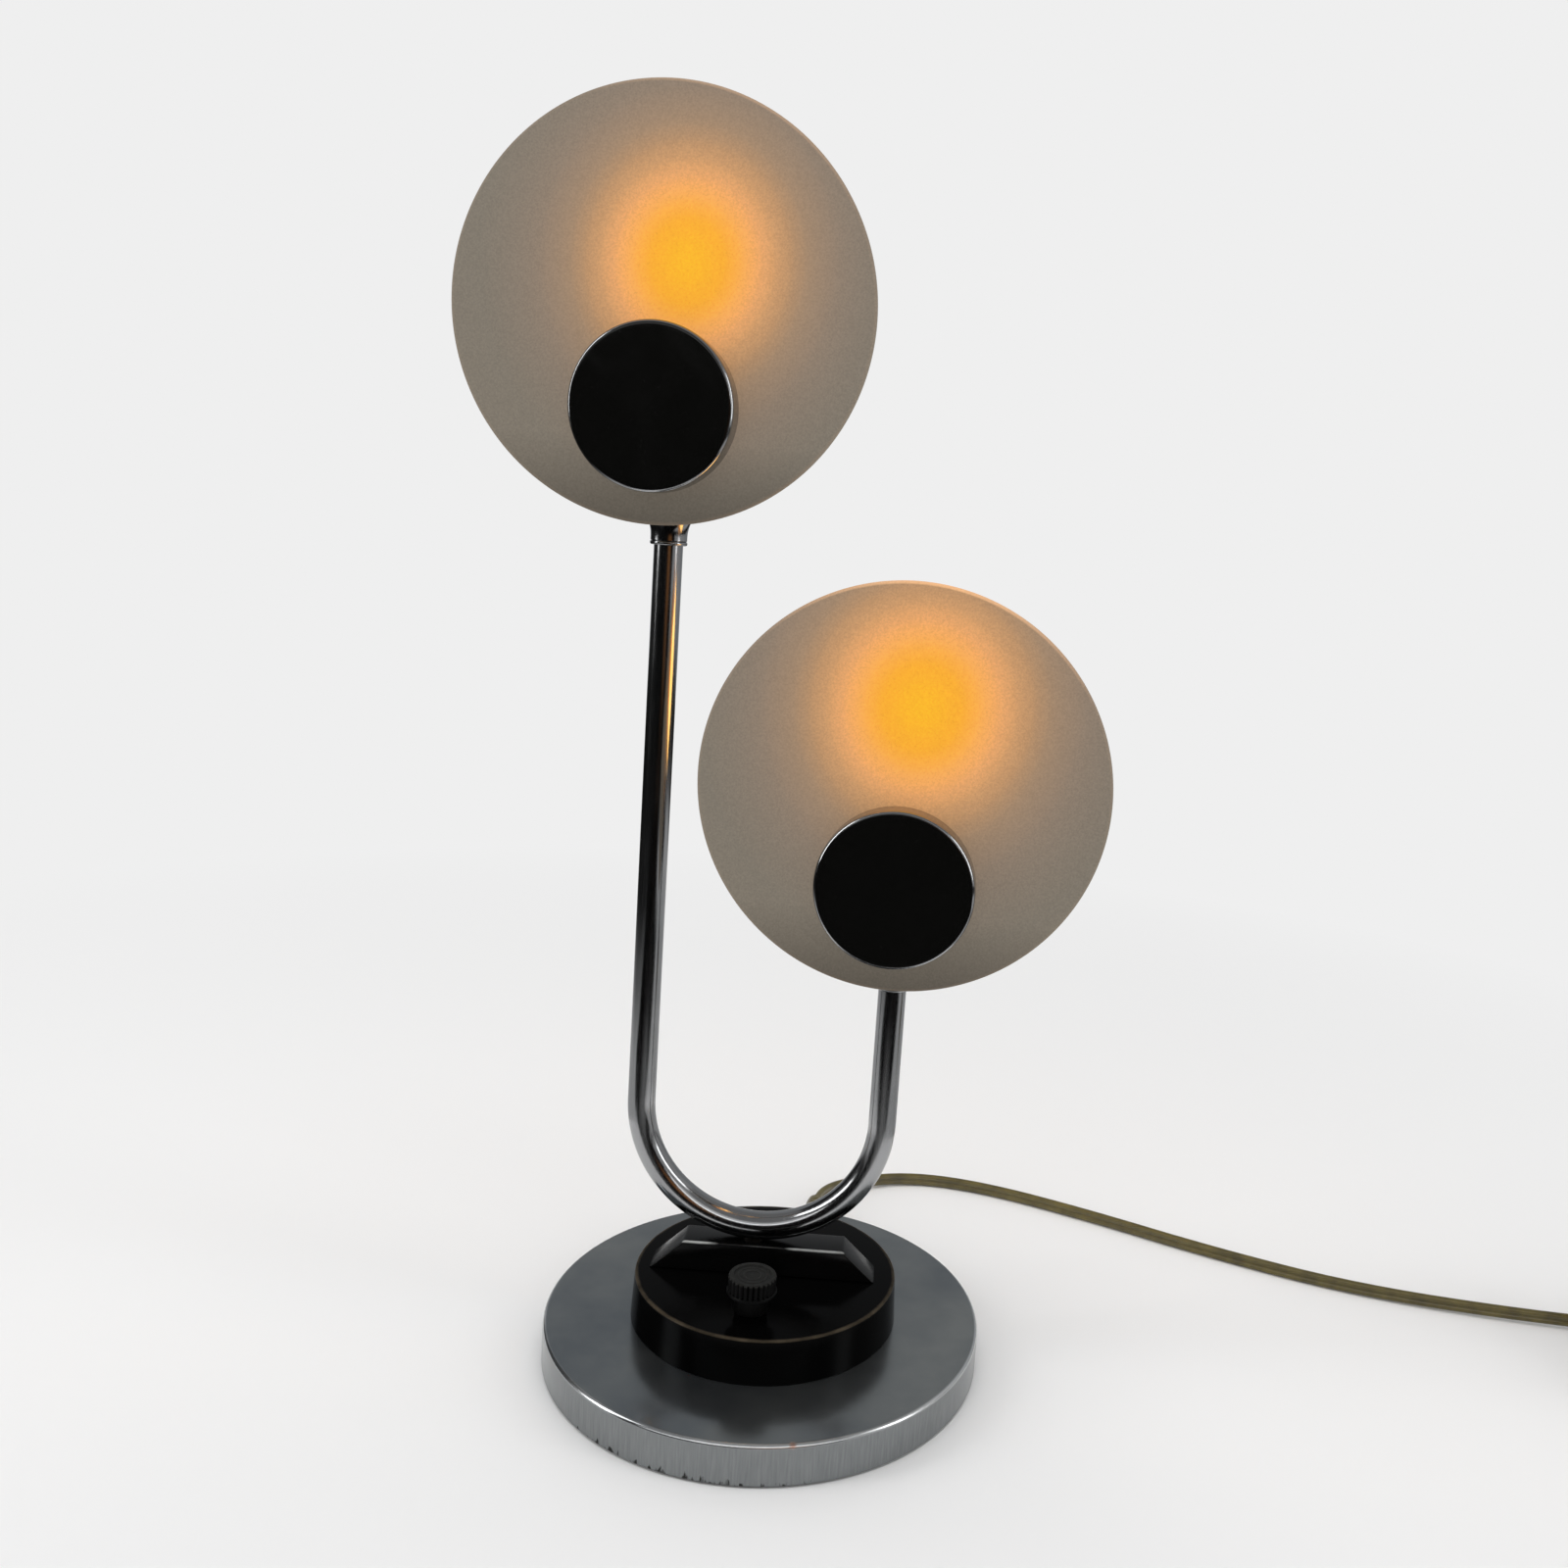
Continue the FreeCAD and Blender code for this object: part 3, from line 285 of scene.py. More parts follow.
def worn_base_chrome():
    """Chrome plate on a spun steel pan: slate grey, hazed by fine scratches that scatter a little light,
    streaked on the rim, with a painted highlight along its upper edge, chipped here and there at its foot,
    with one spot worn through to the copper."""
    made, tree, shader, place = material("worn_base_chrome_plate", Metallic=0.93)
    low, high, _ = span("base_shell")
    axes = add(tree, "SeparateXYZ", {"Vector": place})
    angle = add(tree, "Math", {0: axes.outputs["Y"], 1: axes.outputs["X"]}, operation="ARCTAN2")
    along = add(tree, "Math", {0: angle, 1: high.x * MM}, operation="MULTIPLY")
    rim = add(tree, "CombineXYZ", {"X": along, "Z": axes.outputs["Z"]})
    upright = add(tree, "Mapping", {"Vector": rim, "Scale": (1.0, 1.0, 0.06)})
    streaks = add(tree, "TexNoise", {"Vector": upright, "Scale": per(0.7), "Detail": 4.0})
    haze = add(tree, "TexNoise", {"Vector": place, "Scale": per(45.0), "Detail": 6.0, "Roughness": 0.6})
    tint = add(tree, "ValToRGB", {"Fac": haze}, stops=[(0.3, "#757B80"), (0.7, "#969998")])
    side = add(tree, "MapRange", {"Value": axes.outputs["Z"], **between(high.z - 0.4, high.z - 1.6)})
    rub = add(tree, "ValToRGB", {"Fac": streaks}, stops=[(0.25, "#7A7D7F"), (0.75, "#909393")])
    skin = add(tree, "Mix", {"Factor": side, "A": tint, "B": rub}, data_type="RGBA")
    # Painted highlight along the upper edge: a pale tint laid on the rounding, broken along its length by the
    # haze
    across, up = between(high.x - 1.3, high.x - 0.8), between(high.z - 1.3, high.z - 0.8)
    edge = upper_edge(tree, axes, across, up)
    wiped = add(tree, "MapRange", {"Value": haze, **spread(0.5, 1.0, 0.4, 0.5)})
    bright = add(tree, "Math", {0: edge, 1: wiped}, operation="MULTIPLY")
    polished = add(
        tree,
        "Mix",
        {"Factor": bright, "A": skin.outputs[2], "B": hex_colour("#D2D4D5")},
        data_type="RGBA",
    )
    ticks = add(tree, "Mapping", {"Vector": rim, "Scale": (1.0, 1.0, 0.3)})
    chips = add(tree, "TexNoise", {"Vector": ticks, "Scale": per(1.7), "Detail": 8.0})
    foot = add(tree, "MapRange", {"Value": axes.outputs["Z"], **between(low.z + 9.0, low.z + 0.5)})
    turned = add(tree, "Math", {0: angle, 1: KNOCKED_ANGLE}, operation="SUBTRACT")
    aside = add(tree, "Math", {0: turned}, operation="ABSOLUTE")
    near = add(tree, "MapRange", {"Value": aside, **spread(1.0, 0.8, 0.25, 0.6)})
    knocked = add(tree, "Math", {0: foot, 1: near}, operation="MULTIPLY")
    chip = add(tree, "Math", {0: chips, 1: knocked}, operation="MULTIPLY")
    pit = add(tree, "ValToRGB", {"Fac": chip}, stops=[(0.49, "#000000"), (0.55, "#FFFFFF")])
    marked = add(
        tree,
        "Mix",
        {"Factor": pit, "A": polished.outputs[2], "B": hex_colour("#363635")},
        data_type="RGBA",
    )
    away = add(tree, "VectorMath", {0: place, 1: Vector(WORN_SPOT) * MM}, operation="DISTANCE")
    bare = add(tree, "MapRange", {"Value": away.outputs["Value"], **between(1.5, 0.5)})
    spotted = add(
        tree,
        "Mix",
        {"Factor": bare, "A": marked.outputs[2], "B": hex_colour("#C3A79B")},
        data_type="RGBA",
    )
    dull = add(tree, "MapRange", {"Value": haze, **spread(0.14, 0.26)})
    rough = add(tree, "Math", {0: pit, 1: 0.4}, operation="MULTIPLY")
    both = add(tree, "Math", {0: dull, 1: rough}, operation="ADD")
    height = add(tree, "Math", {0: streaks, 1: side}, operation="MULTIPLY")
    bump = add(tree, "Bump", {"Height": height, "Strength": 0.06, "Distance": 0.1 * MM})
    fill(tree, shader, {"Base Color": spotted.outputs[2], "Roughness": both, "Normal": bump})
    return made


def black_phenolic():
    """Black phenolic, compression moulded and polished: deep gloss, its top edge worn to brown."""
    made, tree, shader, place = material("black_moulded_phenolic", Specular_IOR_Level=0.035)
    _, high, _ = span("dimmer_housing")
    axes = add(tree, "SeparateXYZ", {"Vector": place})
    across, up = between(high.x - 2.7, high.x - 1.5), between(high.z - 0.8, high.z - 0.3)
    edge = upper_edge(tree, axes, across, up)
    patches = add(tree, "TexNoise", {"Vector": place, "Scale": per(7.0), "Detail": 4.0})
    worn = add(tree, "Math", {0: edge, 1: patches}, operation="MULTIPLY")
    tint = add(tree, "ValToRGB", {"Fac": worn}, stops=[(0.15, "#040404"), (0.8, "#4B4337")])
    smears = add(tree, "TexNoise", {"Vector": place, "Scale": per(18.0), "Detail": 6.0})
    dull = add(tree, "MapRange", {"Value": smears, **spread(0.1, 0.24)})
    fill(tree, shader, {"Base Color": tint, "Roughness": dull})
    return made


def black_enamel():
    """Stoved black enamel on the bridge: glossy; painted highlight on its front top edge, painted shade under
    the stem.
    """
    made, tree, shader, place = material("stoved_black_enamel", Specular_IOR_Level=0.25)
    _, high, _ = span("bridge_block")
    stud = span("stem_nipple")[2]
    own = add(
        tree,
        "Mapping",
        {"Vector": place, "Location": (stud.x * MM, 0.0, 0.0), "Rotation": (0.0, 0.0, BRIDGE_ASKEW)},
        vector_type="TEXTURE",
    )
    axes = add(tree, "SeparateXYZ", {"Vector": own})
    # Painted highlight along the front top edge, dimmed by painted shade where the stem stands over it
    face = -BRIDGE_DEEP / 2
    front = add(tree, "MapRange", {"Value": axes.outputs["Y"], **between(face + 0.9, face + 0.3)})
    top = add(tree, "MapRange", {"Value": axes.outputs["Z"], **between(high.z - 0.9, high.z - 0.3)})
    aside = add(tree, "Math", {0: axes.outputs["X"]}, operation="ABSOLUTE")
    clear_of_stem_shade = add(tree, "MapRange", {"Value": aside, **between(12.0, 16.0, 0.12, 1.0)})
    edge = add(tree, "Math", {0: front, 1: top}, operation="MULTIPLY")
    edge_highlight = add(tree, "Math", {0: edge, 1: clear_of_stem_shade}, operation="MULTIPLY")
    patches = add(tree, "TexNoise", {"Vector": place, "Scale": per(9.0), "Detail": 4.0})
    worn = add(tree, "Math", {0: edge_highlight, 1: patches}, operation="MULTIPLY")
    tint = add(tree, "ValToRGB", {"Fac": worn}, stops=[(0.05, "#050505"), (0.5, "#A9ABA9")])
    skin = add(tree, "TexNoise", {"Vector": place, "Scale": per(2.5), "Detail": 3.0})
    bump = add(tree, "Bump", {"Height": skin, "Strength": 0.06, "Distance": 0.1 * MM})
    dull = add(tree, "MapRange", {"Value": patches, **spread(0.14, 0.3)})
    fill(tree, shader, {"Base Color": tint, "Roughness": dull, "Normal": bump})
    return made


def knob_phenolic():
    """Black phenolic of a turned knob: satin sides, and a lighter grey, mottled top."""
    made, tree, shader, place = material("satin_black_phenolic", Specular_IOR_Level=0.1, Roughness=0.4)
    _, high, _ = span("control_knob")
    axes = add(tree, "SeparateXYZ", {"Vector": place})
    # The top is given a lighter grey, mottled by a fine noise that also makes the bump
    top = add(tree, "MapRange", {"Value": axes.outputs["Z"], **between(high.z - 0.9, high.z - 0.3)})
    dust = add(tree, "TexNoise", {"Vector": place, "Scale": per(1.6), "Detail": 6.0, "Roughness": 0.7})
    grey_top = add(tree, "Math", {0: top, 1: dust}, operation="MULTIPLY")
    tint = add(tree, "ValToRGB", {"Fac": grey_top}, stops=[(0.05, "#050505"), (0.75, "#2A2A28")])
    bump = add(tree, "Bump", {"Height": dust, "Strength": 0.12, "Distance": 0.1 * MM})
    fill(tree, shader, {"Base Color": tint, "Normal": bump})
    return made


def cap_lacquer(side):
    """Black lacquer on a pressed cap: near-mirror gloss with dust specks, wiping marks and a faint dimple."""
    made, tree, shader, place = material(side + "_gloss_black_lacquer", Specular_IOR_Level=0.3)
    _, _, middle = span(side + "_glass_cap")
    specks = add(tree, "TexNoise", {"Vector": place, "Scale": per(0.7), "Detail": 2.0})
    tint = add(tree, "ValToRGB", {"Fac": specks}, stops=[(0.72, "#0C0C0B"), (0.82, "#262624")])
    wiped = add(tree, "TexNoise", {"Vector": place, "Scale": per(22.0), "Detail": 6.0, "Distortion": 1.2})
    dull = add(tree, "MapRange", {"Value": wiped, **spread(0.08, 0.2)})
    away = distance_from(tree, place, (middle.x, middle.z))
    dimple = add(tree, "MapRange", {"Value": away, **between(2.0, 6.0)})
    bump = add(tree, "Bump", {"Height": dimple, "Strength": 0.3, "Distance": 0.1 * MM})
    fill(tree, shader, {"Base Color": tint, "Roughness": dull, "Normal": bump})
    return made


def etched_glass(side, glow_spot, reach):
    """Acid-etched smoked glass: matt grain, drawn coarse enough to show, the bulb behind painted on as an
    amber glow in colour and emission, a painted lit line on the ground edge, and painted shade towards the
    bottom."""
    made, tree, shader, place = material(side + "_etched_glass", Specular_IOR_Level=0.2, Roughness=0.5)
    low, high, middle = span(side + "_glass_disc")
    # Painted light: tones of the bulb's glow by distance from its middle, used for emission and base colour
    glow = [
        (0.0, "#F7B523"),
        (0.11, "#F6AE28"),
        (0.19, "#F5A934"),
        (0.26, "#F4A94F"),
        (0.34, "#E6A363"),
        (0.41, "#CD9866"),
        (0.49, "#B48C66"),
        (0.56, "#A08469"),
        (0.71, "#8C7B6A"),
        (1.0, "#7C7468"),
    ]
    distance = distance_from(tree, place, glow_spot, squeeze=1.1)
    share = add(tree, "MapRange", {"Value": distance, **between(0.0, reach)})
    ramp = add(tree, "ValToRGB", {"Fac": share}, stops=glow)
    ramp.color_ramp.interpolation = "CARDINAL"
    grain = add(tree, "TexNoise", {"Vector": place, "Scale": per(0.55), "Detail": 3.0})
    speckle = add(tree, "MapRange", {"Value": grain, **spread(0.88, 1.08)})
    # Painted shade: darker towards the disc's bottom edge
    height = add(tree, "SeparateXYZ", {"Vector": place}).outputs["Z"]
    shade = add(tree, "MapRange", {"Value": height, **between(low.z + 1.5, low.z + 28.0, 0.52, 1.0)})
    level = add(tree, "Math", {0: speckle, 1: shade}, operation="MULTIPLY")
    lit = add(tree, "VectorMath", {0: ramp, "Scale": level}, operation="SCALE")
    radius = distance_from(tree, place, (middle.x, middle.z))
    # Painted light: an amber line on the ground edge, strongest near the glow
    outer = high.x - middle.x
    ground = add(tree, "MapRange", {"Value": radius, **between(outer - 1.2, outer - 0.7)})
    near = add(tree, "MapRange", {"Value": distance, **between(38.0, 62.0, 0.4, 0.02)})
    edge = add(tree, "Math", {0: ground, 1: near}, operation="MULTIPLY")
    amber = hex_colour("#F9BC86")[:3]
    line = add(tree, "VectorMath", {0: amber, "Scale": edge}, operation="SCALE")
    total = add(tree, "VectorMath", {0: lit, 1: line}, operation="ADD")
    # The painted glow and edge line also tint the base colour
    own = add(tree, "VectorMath", {0: total, "Scale": 0.45}, operation="SCALE")
    bump = add(tree, "Bump", {"Height": grain, "Strength": 0.1, "Distance": 0.05 * MM})
    fill(tree, shader, {"Base Color": own, "Emission Color": total, "Emission Strength": 0.7, "Normal": bump})
    return made


def opal_bulb():
    """Opal-coated bulb glass, lit: soft white skin with an amber light dimmed low."""
    made, tree, shader, place = material("lit_opal_bulb_glass", Roughness=0.2, Emission_Strength=4.0)
    cloud = add(tree, "TexNoise", {"Vector": place, "Scale": per(14.0), "Detail": 2.0})
    light = add(tree, "ValToRGB", {"Fac": cloud}, stops=[(0.3, "#FFB85A"), (0.7, "#FFCB7C")])
    fill(tree, shader, {"Base Color": light, "Emission Color": light})
    return made


def speckled(name, dark, pale, grain, roughness, bump_mm, **values):
    """A plain stock material whose tint and surface vary with a fine grain of that many millimetres."""
    made, tree, shader, place = material(name, Roughness=roughness, **values)
    noise = add(tree, "TexNoise", {"Vector": place, "Scale": per(grain), "Detail": 5.0})
    tint = add(tree, "ValToRGB", {"Fac": noise}, stops=[(0.3, dark), (0.7, pale)])
    bump = add(tree, "Bump", {"Height": noise, "Strength": 0.4, "Distance": bump_mm * MM})
    fill(tree, shader, {"Base Color": tint, "Normal": bump})
    return made


def gold_flex_pvc():
    """Clear gold PVC over copper strands: glossy, a brownish gold that the strands beneath make uneven."""
    made, tree, shader, place = material("gold_pvc_twin_flex", Roughness=0.28, Coat_Weight=0.3)
    noise = add(tree, "TexNoise", {"Vector": place, "Scale": per(6.0), "Detail": 4.0})
    tint = add(tree, "ValToRGB", {"Fac": noise}, stops=[(0.3, "#4C4424"), (0.7, "#685D2F")])
    fill(tree, shader, {"Base Color": tint})
    return made


FINISHES = {
    "chrome": polished_chrome(),
    "base_chrome": worn_base_chrome(),
    "phenolic": black_phenolic(),
    "enamel": black_enamel(),
    "knob": knob_phenolic(),
    "bulb": opal_bulb(),
    "flex": gold_flex_pvc(),
    # Pressed screw caps: bright aluminium with a drawn grain.
    "aluminium": speckled("pressed_aluminium", "#B9BABB", "#D3D4D4", 3.0, 0.28, 0.02, Metallic=1.0),
    # Cream urea moulding of the lampholders: warm, slightly mottled, semi-gloss.
    "cream": speckled("cream_urea_moulding", "#CDC3AC", "#DBD3BF", 4.0, 0.38, 0.02),
    # Plain brass contacts and blades.
    "brass": speckled("drawn_brass", "#B08D4C", "#CDAE6C", 2.0, 0.25, 0.01, Metallic=1.0),
    # Zinc plate on turned steel: pale grey with a bluish bloom.
    "zinc": speckled("zinc_plated_steel", "#9A9DA0", "#B7B9BA", 3.0, 0.32, 0.02, Metallic=1.0),
    # Zinc plate gone dull: dark brownish grey.
    "dull_zinc": speckled("dulled_zinc_plate", "#1E1C1A", "#34312E", 3.0, 0.45, 0.02, Metallic=1.0),
    # Sand-cast grey iron: dark with a coarse skin.
    "iron": speckled("sand_cast_iron", "#242424", "#3A3938", 1.5, 0.7, 0.3, Metallic=0.6),
    # Pressed wool felt: dark green with short fibres.
    "felt": speckled("dark_green_felt", "#1B241C", "#2F3B2F", 0.8, 0.95, 0.4),
    # Soft fibre washers: charcoal, matt.
    "washer": speckled("soft_fibre_washer", "#1C1C1B", "#2B2B2A", 1.0, 0.8, 0.1),
    # Single-core insulation: dull white plastic.
    "insulation": speckled("white_wire_insulation", "#C6C0AE", "#D8D3C4", 3.0, 0.5, 0.02),
    # Strap of the coil: black nylon.
    "nylon": speckled("black_nylon_strap", "#0E0E0E", "#1A1A1A", 1.0, 0.45, 0.05),
    # Moulded plug: dark brown plastic, semi-gloss.
    "plug": speckled("brown_moulded_plastic", "#2C1E14", "#3A291C", 5.0, 0.35, 0.03),
}


# Camera and flex


def photo_camera():
    """The photograph's view."""
    lens = bpy.data.cameras.new("photo_view")
    lens.lens = CAMERA_LENS
    lens.shift_x, lens.shift_y = CAMERA_SHIFT
    lens.clip_start = 0.01
    view = bpy.data.objects.new("photo_view", lens)
    bpy.context.scene.collection.objects.link(view)
    turn = Matrix.Rotation(math.radians(CAMERA_YAW), 4, "Z")
    turn = turn @ Matrix.Rotation(math.radians(90 - CAMERA_PITCH), 4, "X")
    turn = turn @ Matrix.Rotation(math.radians(CAMERA_ROLL), 4, "Z")
    view.matrix_world = Matrix.Translation(Vector(CAMERA_PLACE) * MM) @ turn
    bpy.context.scene.camera = view


# Flex: radius of a core, the coil's turns and piled layers, and the rise to the plug
FLEX_CORE = 1.35
COIL_CENTRE = (368.0, 40.0)
COIL_RADIUS = 36.0
COIL_PITCH = 6.0
COIL_FOOT = 3.6
FLEX_LEVEL = 2.8
COIL_LAYERS = 4
LAYER_TURNS = 1.875
CLIMB_TURNS = LAYER_TURNS / 8
POINTS_PER_TURN = 16
TAIL_RADIUS = 27.5
PLUG_AXIS = 31.6


def flex_points():
    """Control points of the flex: the free lead, the coil's piled turns and the rise to the plug."""
    _, bush, _ = span("cord_bush")
    points = [
        (6.0, bush.y, 7.0),
        (6.0, bush.y + 10.0, 7.0),
        (18.0, bush.y + 29.4, 3.8),
        (45.0, bush.y + 43.0, FLEX_LEVEL),
        (80.0, bush.y + 40.5, FLEX_LEVEL),
        (127.0, bush.y + 24.5, FLEX_LEVEL),
        (182.0, bush.y + 1.0, FLEX_LEVEL),
        (239.0, 84.0, FLEX_LEVEL),
        (304.1, 76.0, COIL_FOOT),
    ]
    across, back = COIL_CENTRE
    rise = PLUG_AXIS - COIL_FOOT - (COIL_LAYERS - 1) * COIL_PITCH
    turns = COIL_LAYERS * LAYER_TURNS
    for step in range(int(turns * POINTS_PER_TURN) + 1):
        turn = step / POINTS_PER_TURN
        layer = min(int(turn / LAYER_TURNS), COIL_LAYERS - 1)
        into = turn - layer * LAYER_TURNS
        inward = into if layer % 2 == 0 else LAYER_TURNS - into
        radius = COIL_RADIUS - COIL_PITCH * inward
        climbs = [(turn - LAYER_TURNS * reversal) / CLIMB_TURNS for reversal in range(1, COIL_LAYERS)]
        height = sum(COIL_PITCH * min(max((climb + 1) / 2, 0.0), 1.0) for climb in climbs)
        height += rise / 2 * max(0.0, 1 - (turns - turn) / CLIMB_TURNS)
        angle = math.pi / 2 - 2 * math.pi * turn
        points.append(
            (across + radius * math.cos(angle), back + radius * math.sin(angle), COIL_FOOT + height)
        )
    tail_back = back - COIL_RADIUS + TAIL_RADIUS
    for step in range(1, 5):
        angle = -math.pi / 2 - math.pi / 8 * step
        height = PLUG_AXIS - rise / 2 * (1 - step / 4)
        points.append(
            (across + TAIL_RADIUS * math.cos(angle), tail_back + TAIL_RADIUS * math.sin(angle), height)
        )
    points.append((across - TAIL_RADIUS, tail_back + 4 * FLEX_CORE, PLUG_AXIS))
    return points


def flex_curve(points):
    """One open smooth spline through the flex's control points."""
    curve = bpy.data.curves.new("flex", "CURVE")
    curve.dimensions = "3D"
    curve.twist_mode = "Z_UP"
    curve.resolution_u = 6
    spline = curve.splines.new("NURBS")
    spline.points.add(len(points) - 1)
    for point, place in zip(spline.points, points):
        point.co = (*(Vector(place) * MM), 1.0)
    spline.order_u = 3
    spline.use_endpoint_u = True
    return curve


def core_outline():
    """Closed outline of two cores side by side, one above the other, with a groove between them."""
    outline = bpy.data.curves.new("flex_section", "CURVE")
    spline = outline.splines.new("POLY")
    steps = 10
    places = []
    for up in (1, -1):
        for step in range(steps + 1):
            angle = math.radians(-55 + 290 * step / steps)
            places.append((up * FLEX_CORE * math.cos(angle), up * FLEX_CORE * (1 + math.sin(angle))))
    spline.points.add(len(places) - 1)
    for point, (across, up) in zip(spline.points, places):
        point.co = (across * MM, up * MM, 0.0, 1.0)
    spline.use_cyclic_u = True
    return outline


def twin_flex():
    """Gold twin flex as one swept mesh, with the points that it follows."""
    curve = flex_curve(flex_points())
    carrier = bpy.data.objects.new("flex_carrier", curve)
    bare = bpy.data.meshes.new_from_object(carrier)
    path = [tuple(vertex.co) for vertex in bare.vertices]
    bpy.data.meshes.remove(bare)
    section = bpy.data.objects.new("flex_section", core_outline())
    for helper in (carrier, section):
        bpy.context.scene.collection.objects.link(helper)
    curve.bevel_mode = "OBJECT"
    curve.bevel_object = section
    curve.use_fill_caps = True
    depsgraph = bpy.context.evaluated_depsgraph_get()
    mesh = bpy.data.meshes.new_from_object(carrier.evaluated_get(depsgraph))
    for helper in (carrier, section):
        bpy.data.objects.remove(helper)
    bm = bmesh.new()
    bm.from_mesh(mesh)
    bpy.data.meshes.remove(mesh)
    bmesh.ops.remove_doubles(bm, verts=bm.verts, dist=WELD * MM)
    bmesh.ops.recalc_face_normals(bm, faces=bm.faces)
    bmesh.ops.scale(bm, vec=(1 / MM, 1 / MM, 1 / MM), verts=bm.verts)
    flex = piece("twin_flex", bm, [FINISHES["flex"]], ["flex_lead", "flex_coil"])
    return flex, path


def cord_bush():
    """Tapered strain relief in the flex's gold plastic: ring grooves, and a flange against the base's rim."""
    low, high, middle = span("cord_bush")
    flange, root, tip, plug = high.x - middle.x, 5.0, 3.9, 4.4
    thick, soft, edge = 1.5, 0.4, 0.5
    wall = BASE_RADIUS - low.y
    face, length = wall + thick, high.y - low.y
    outline = [(0.0, 0.0), (plug, 0.0), (plug, wall), (flange - soft, wall), (flange, wall + soft)]
    outline += [(flange, face - edge), (flange - edge, face), (root + soft, face), (root, face + soft)]
    rings, first, pitch, groove = 6, 2.0, 2.6, 0.45
    for ring in range(rings):
        foot = face + first + ring * pitch
        radius = root + (tip - root) * (foot - face) / (length - face)
        outline += [(radius, foot), (radius - groove, foot + 0.3)]
        outline += [(radius - groove, foot + 0.9), (radius - 0.05, foot + 1.2)]
    outline += [(tip, length - edge), (tip - soft, length), (0.0, length + 0.1)]
    shape = move(lathe(outline, 48), (middle.x, low.y, middle.z), BACKWARD)
    return piece("strain_relief", shape, [FINISHES["flex"]], ["cord_bush"])


def coil_strap():
    """Nylon strap round the bundle of turns, with its buckle on the outer side."""
    low, high, middle = span("coil_tie")
    slack = FLEX_CORE
    size = high - low - Vector((2 * slack, 0.0, 0.0))
    bm = bmesh.new()
    bmesh.ops.create_cube(bm, size=1.0, matrix=Matrix.Diagonal((*size, 1.0)))
    lengthwise = [edge for edge in bm.edges if abs(edge.verts[0].co.y - edge.verts[1].co.y) > 1.0]
    round_edges(bm, lengthwise, 2.5, 5)
    ends = [face for face in bm.faces if abs(face.normal.y) > 0.9]
    bmesh.ops.delete(bm, geom=ends, context="FACES_ONLY")
    bmesh.ops.recalc_face_normals(bm, faces=bm.faces)
    bmesh.ops.solidify(bm, geom=bm.faces[:], thickness=0.75)
    move(bm, middle)
    buckle = move(slab((1.0, size.y - 0.1, 6.0), 0.4), (high.x - slack - 0.3, middle.y, middle.z + 2.0))
    return piece("coil_strap", join(bm, buckle), [FINISHES["nylon"]], ["coil_tie"])


def plug():
    """Moulded plug: rounded body with grip hollows, ringed relief, and two brass blades."""
    low, high, middle = span("plug_body")
    long, root, tip, groove, flare = 12.0, 5.2, 3.6, 0.4, 1.0
    body_low = low.y + long
    size = Vector((high.x - low.x, high.y - body_low, high.z - low.z))
    bm = slab(size, 3.0, 5)
    move(bm, (middle.x, (high.y + body_low) / 2, middle.z))
    outline = [(0.0, 0.0), (tip - groove, 0.0), (tip, groove)]
    for foot in (2.0, 5.0, 8.0):
        radius = tip + (root - tip) * foot / long
        outline += [(radius, foot), (radius - groove, foot + 0.3)]
        outline += [(radius - groove, foot + 1.1), (radius + 0.15, foot + 1.4)]
    outline += [(root, long), (root + flare, long + flare), (0.0, long + flare)]
    relief = move(lathe(outline, 40), (middle.x, low.y, middle.z), BACKWARD)
    rib = (size.x - 7.0, 1.2, 0.8)
    ribs = [
        move(slab(rib, 0.35), (middle.x, body_low + along, high.z - rib[2] / 2))
        for along in (8.0, 11.5, 15.0, 18.5)
    ]
    body = piece("plug_case", join(bm, relief, *ribs), [FINISHES["plug"]], ["plug_body"])
    blade_low, blade_high, blade_middle = span("plug_blades")
    thick = 1.5
    apart, length, wide = blade_high - blade_low
    blades = bmesh.new()
    for side in (-1, 1):
        across = side * (apart - thick) / 2
        blade = slab((thick, length, wide), 0.45, 2)
        join(blades, move(blade, (blade_middle.x + across, blade_middle.y, blade_middle.z)))
    pins = piece("plug_pins", blades, [FINISHES["brass"]], ["plug_blades"])
    return body, pins


# Base, housing and stem


def base_pan():
    """Spun pan, open below, with a rounded upper edge."""
    low, high, _ = span("base_shell")
    wall, edge = 1.2, 1.5
    outline = [(0.0, high.z - wall), (high.x - wall, high.z - wall), (high.x - wall, low.z + 0.2)]
    outline += [(high.x - wall + 0.3, low.z), (high.x - 0.3, low.z), (high.x, low.z + 0.3)]
    outline += [(high.x, high.z - edge)]
    outline += arc((high.x, high.z - edge), (high.x - edge, high.z), leave=90.0, steps=8)
    outline += [(high.x * share, high.z) for share in (0.85, 0.6)] + [(0.0, high.z)]
    piece("base_pan", lathe(outline, 192), [FINISHES["base_chrome"]], ["base_shell"])


def housing_drum():
    """Moulded drum, open below, a little narrower at its top."""
    low, high, _ = span("dimmer_housing")
    wall, edge, lean = 2.5, 0.8, 0.8
    top = high.x - lean
    outline = [(0.0, high.z - wall), (top - wall, high.z - wall), (high.x - wall, low.z)]
    outline += [(high.x - 0.3, low.z), (high.x, low.z + 0.3), (top, high.z - edge)]
    outline += arc((top, high.z - edge), (top - edge, high.z), arrive=180.0, steps=8)
    outline += [(top * 0.5, high.z), (0.0, high.z)]
    piece("housing_drum", lathe(outline, 144), [FINISHES["phenolic"]], ["dimmer_housing"])


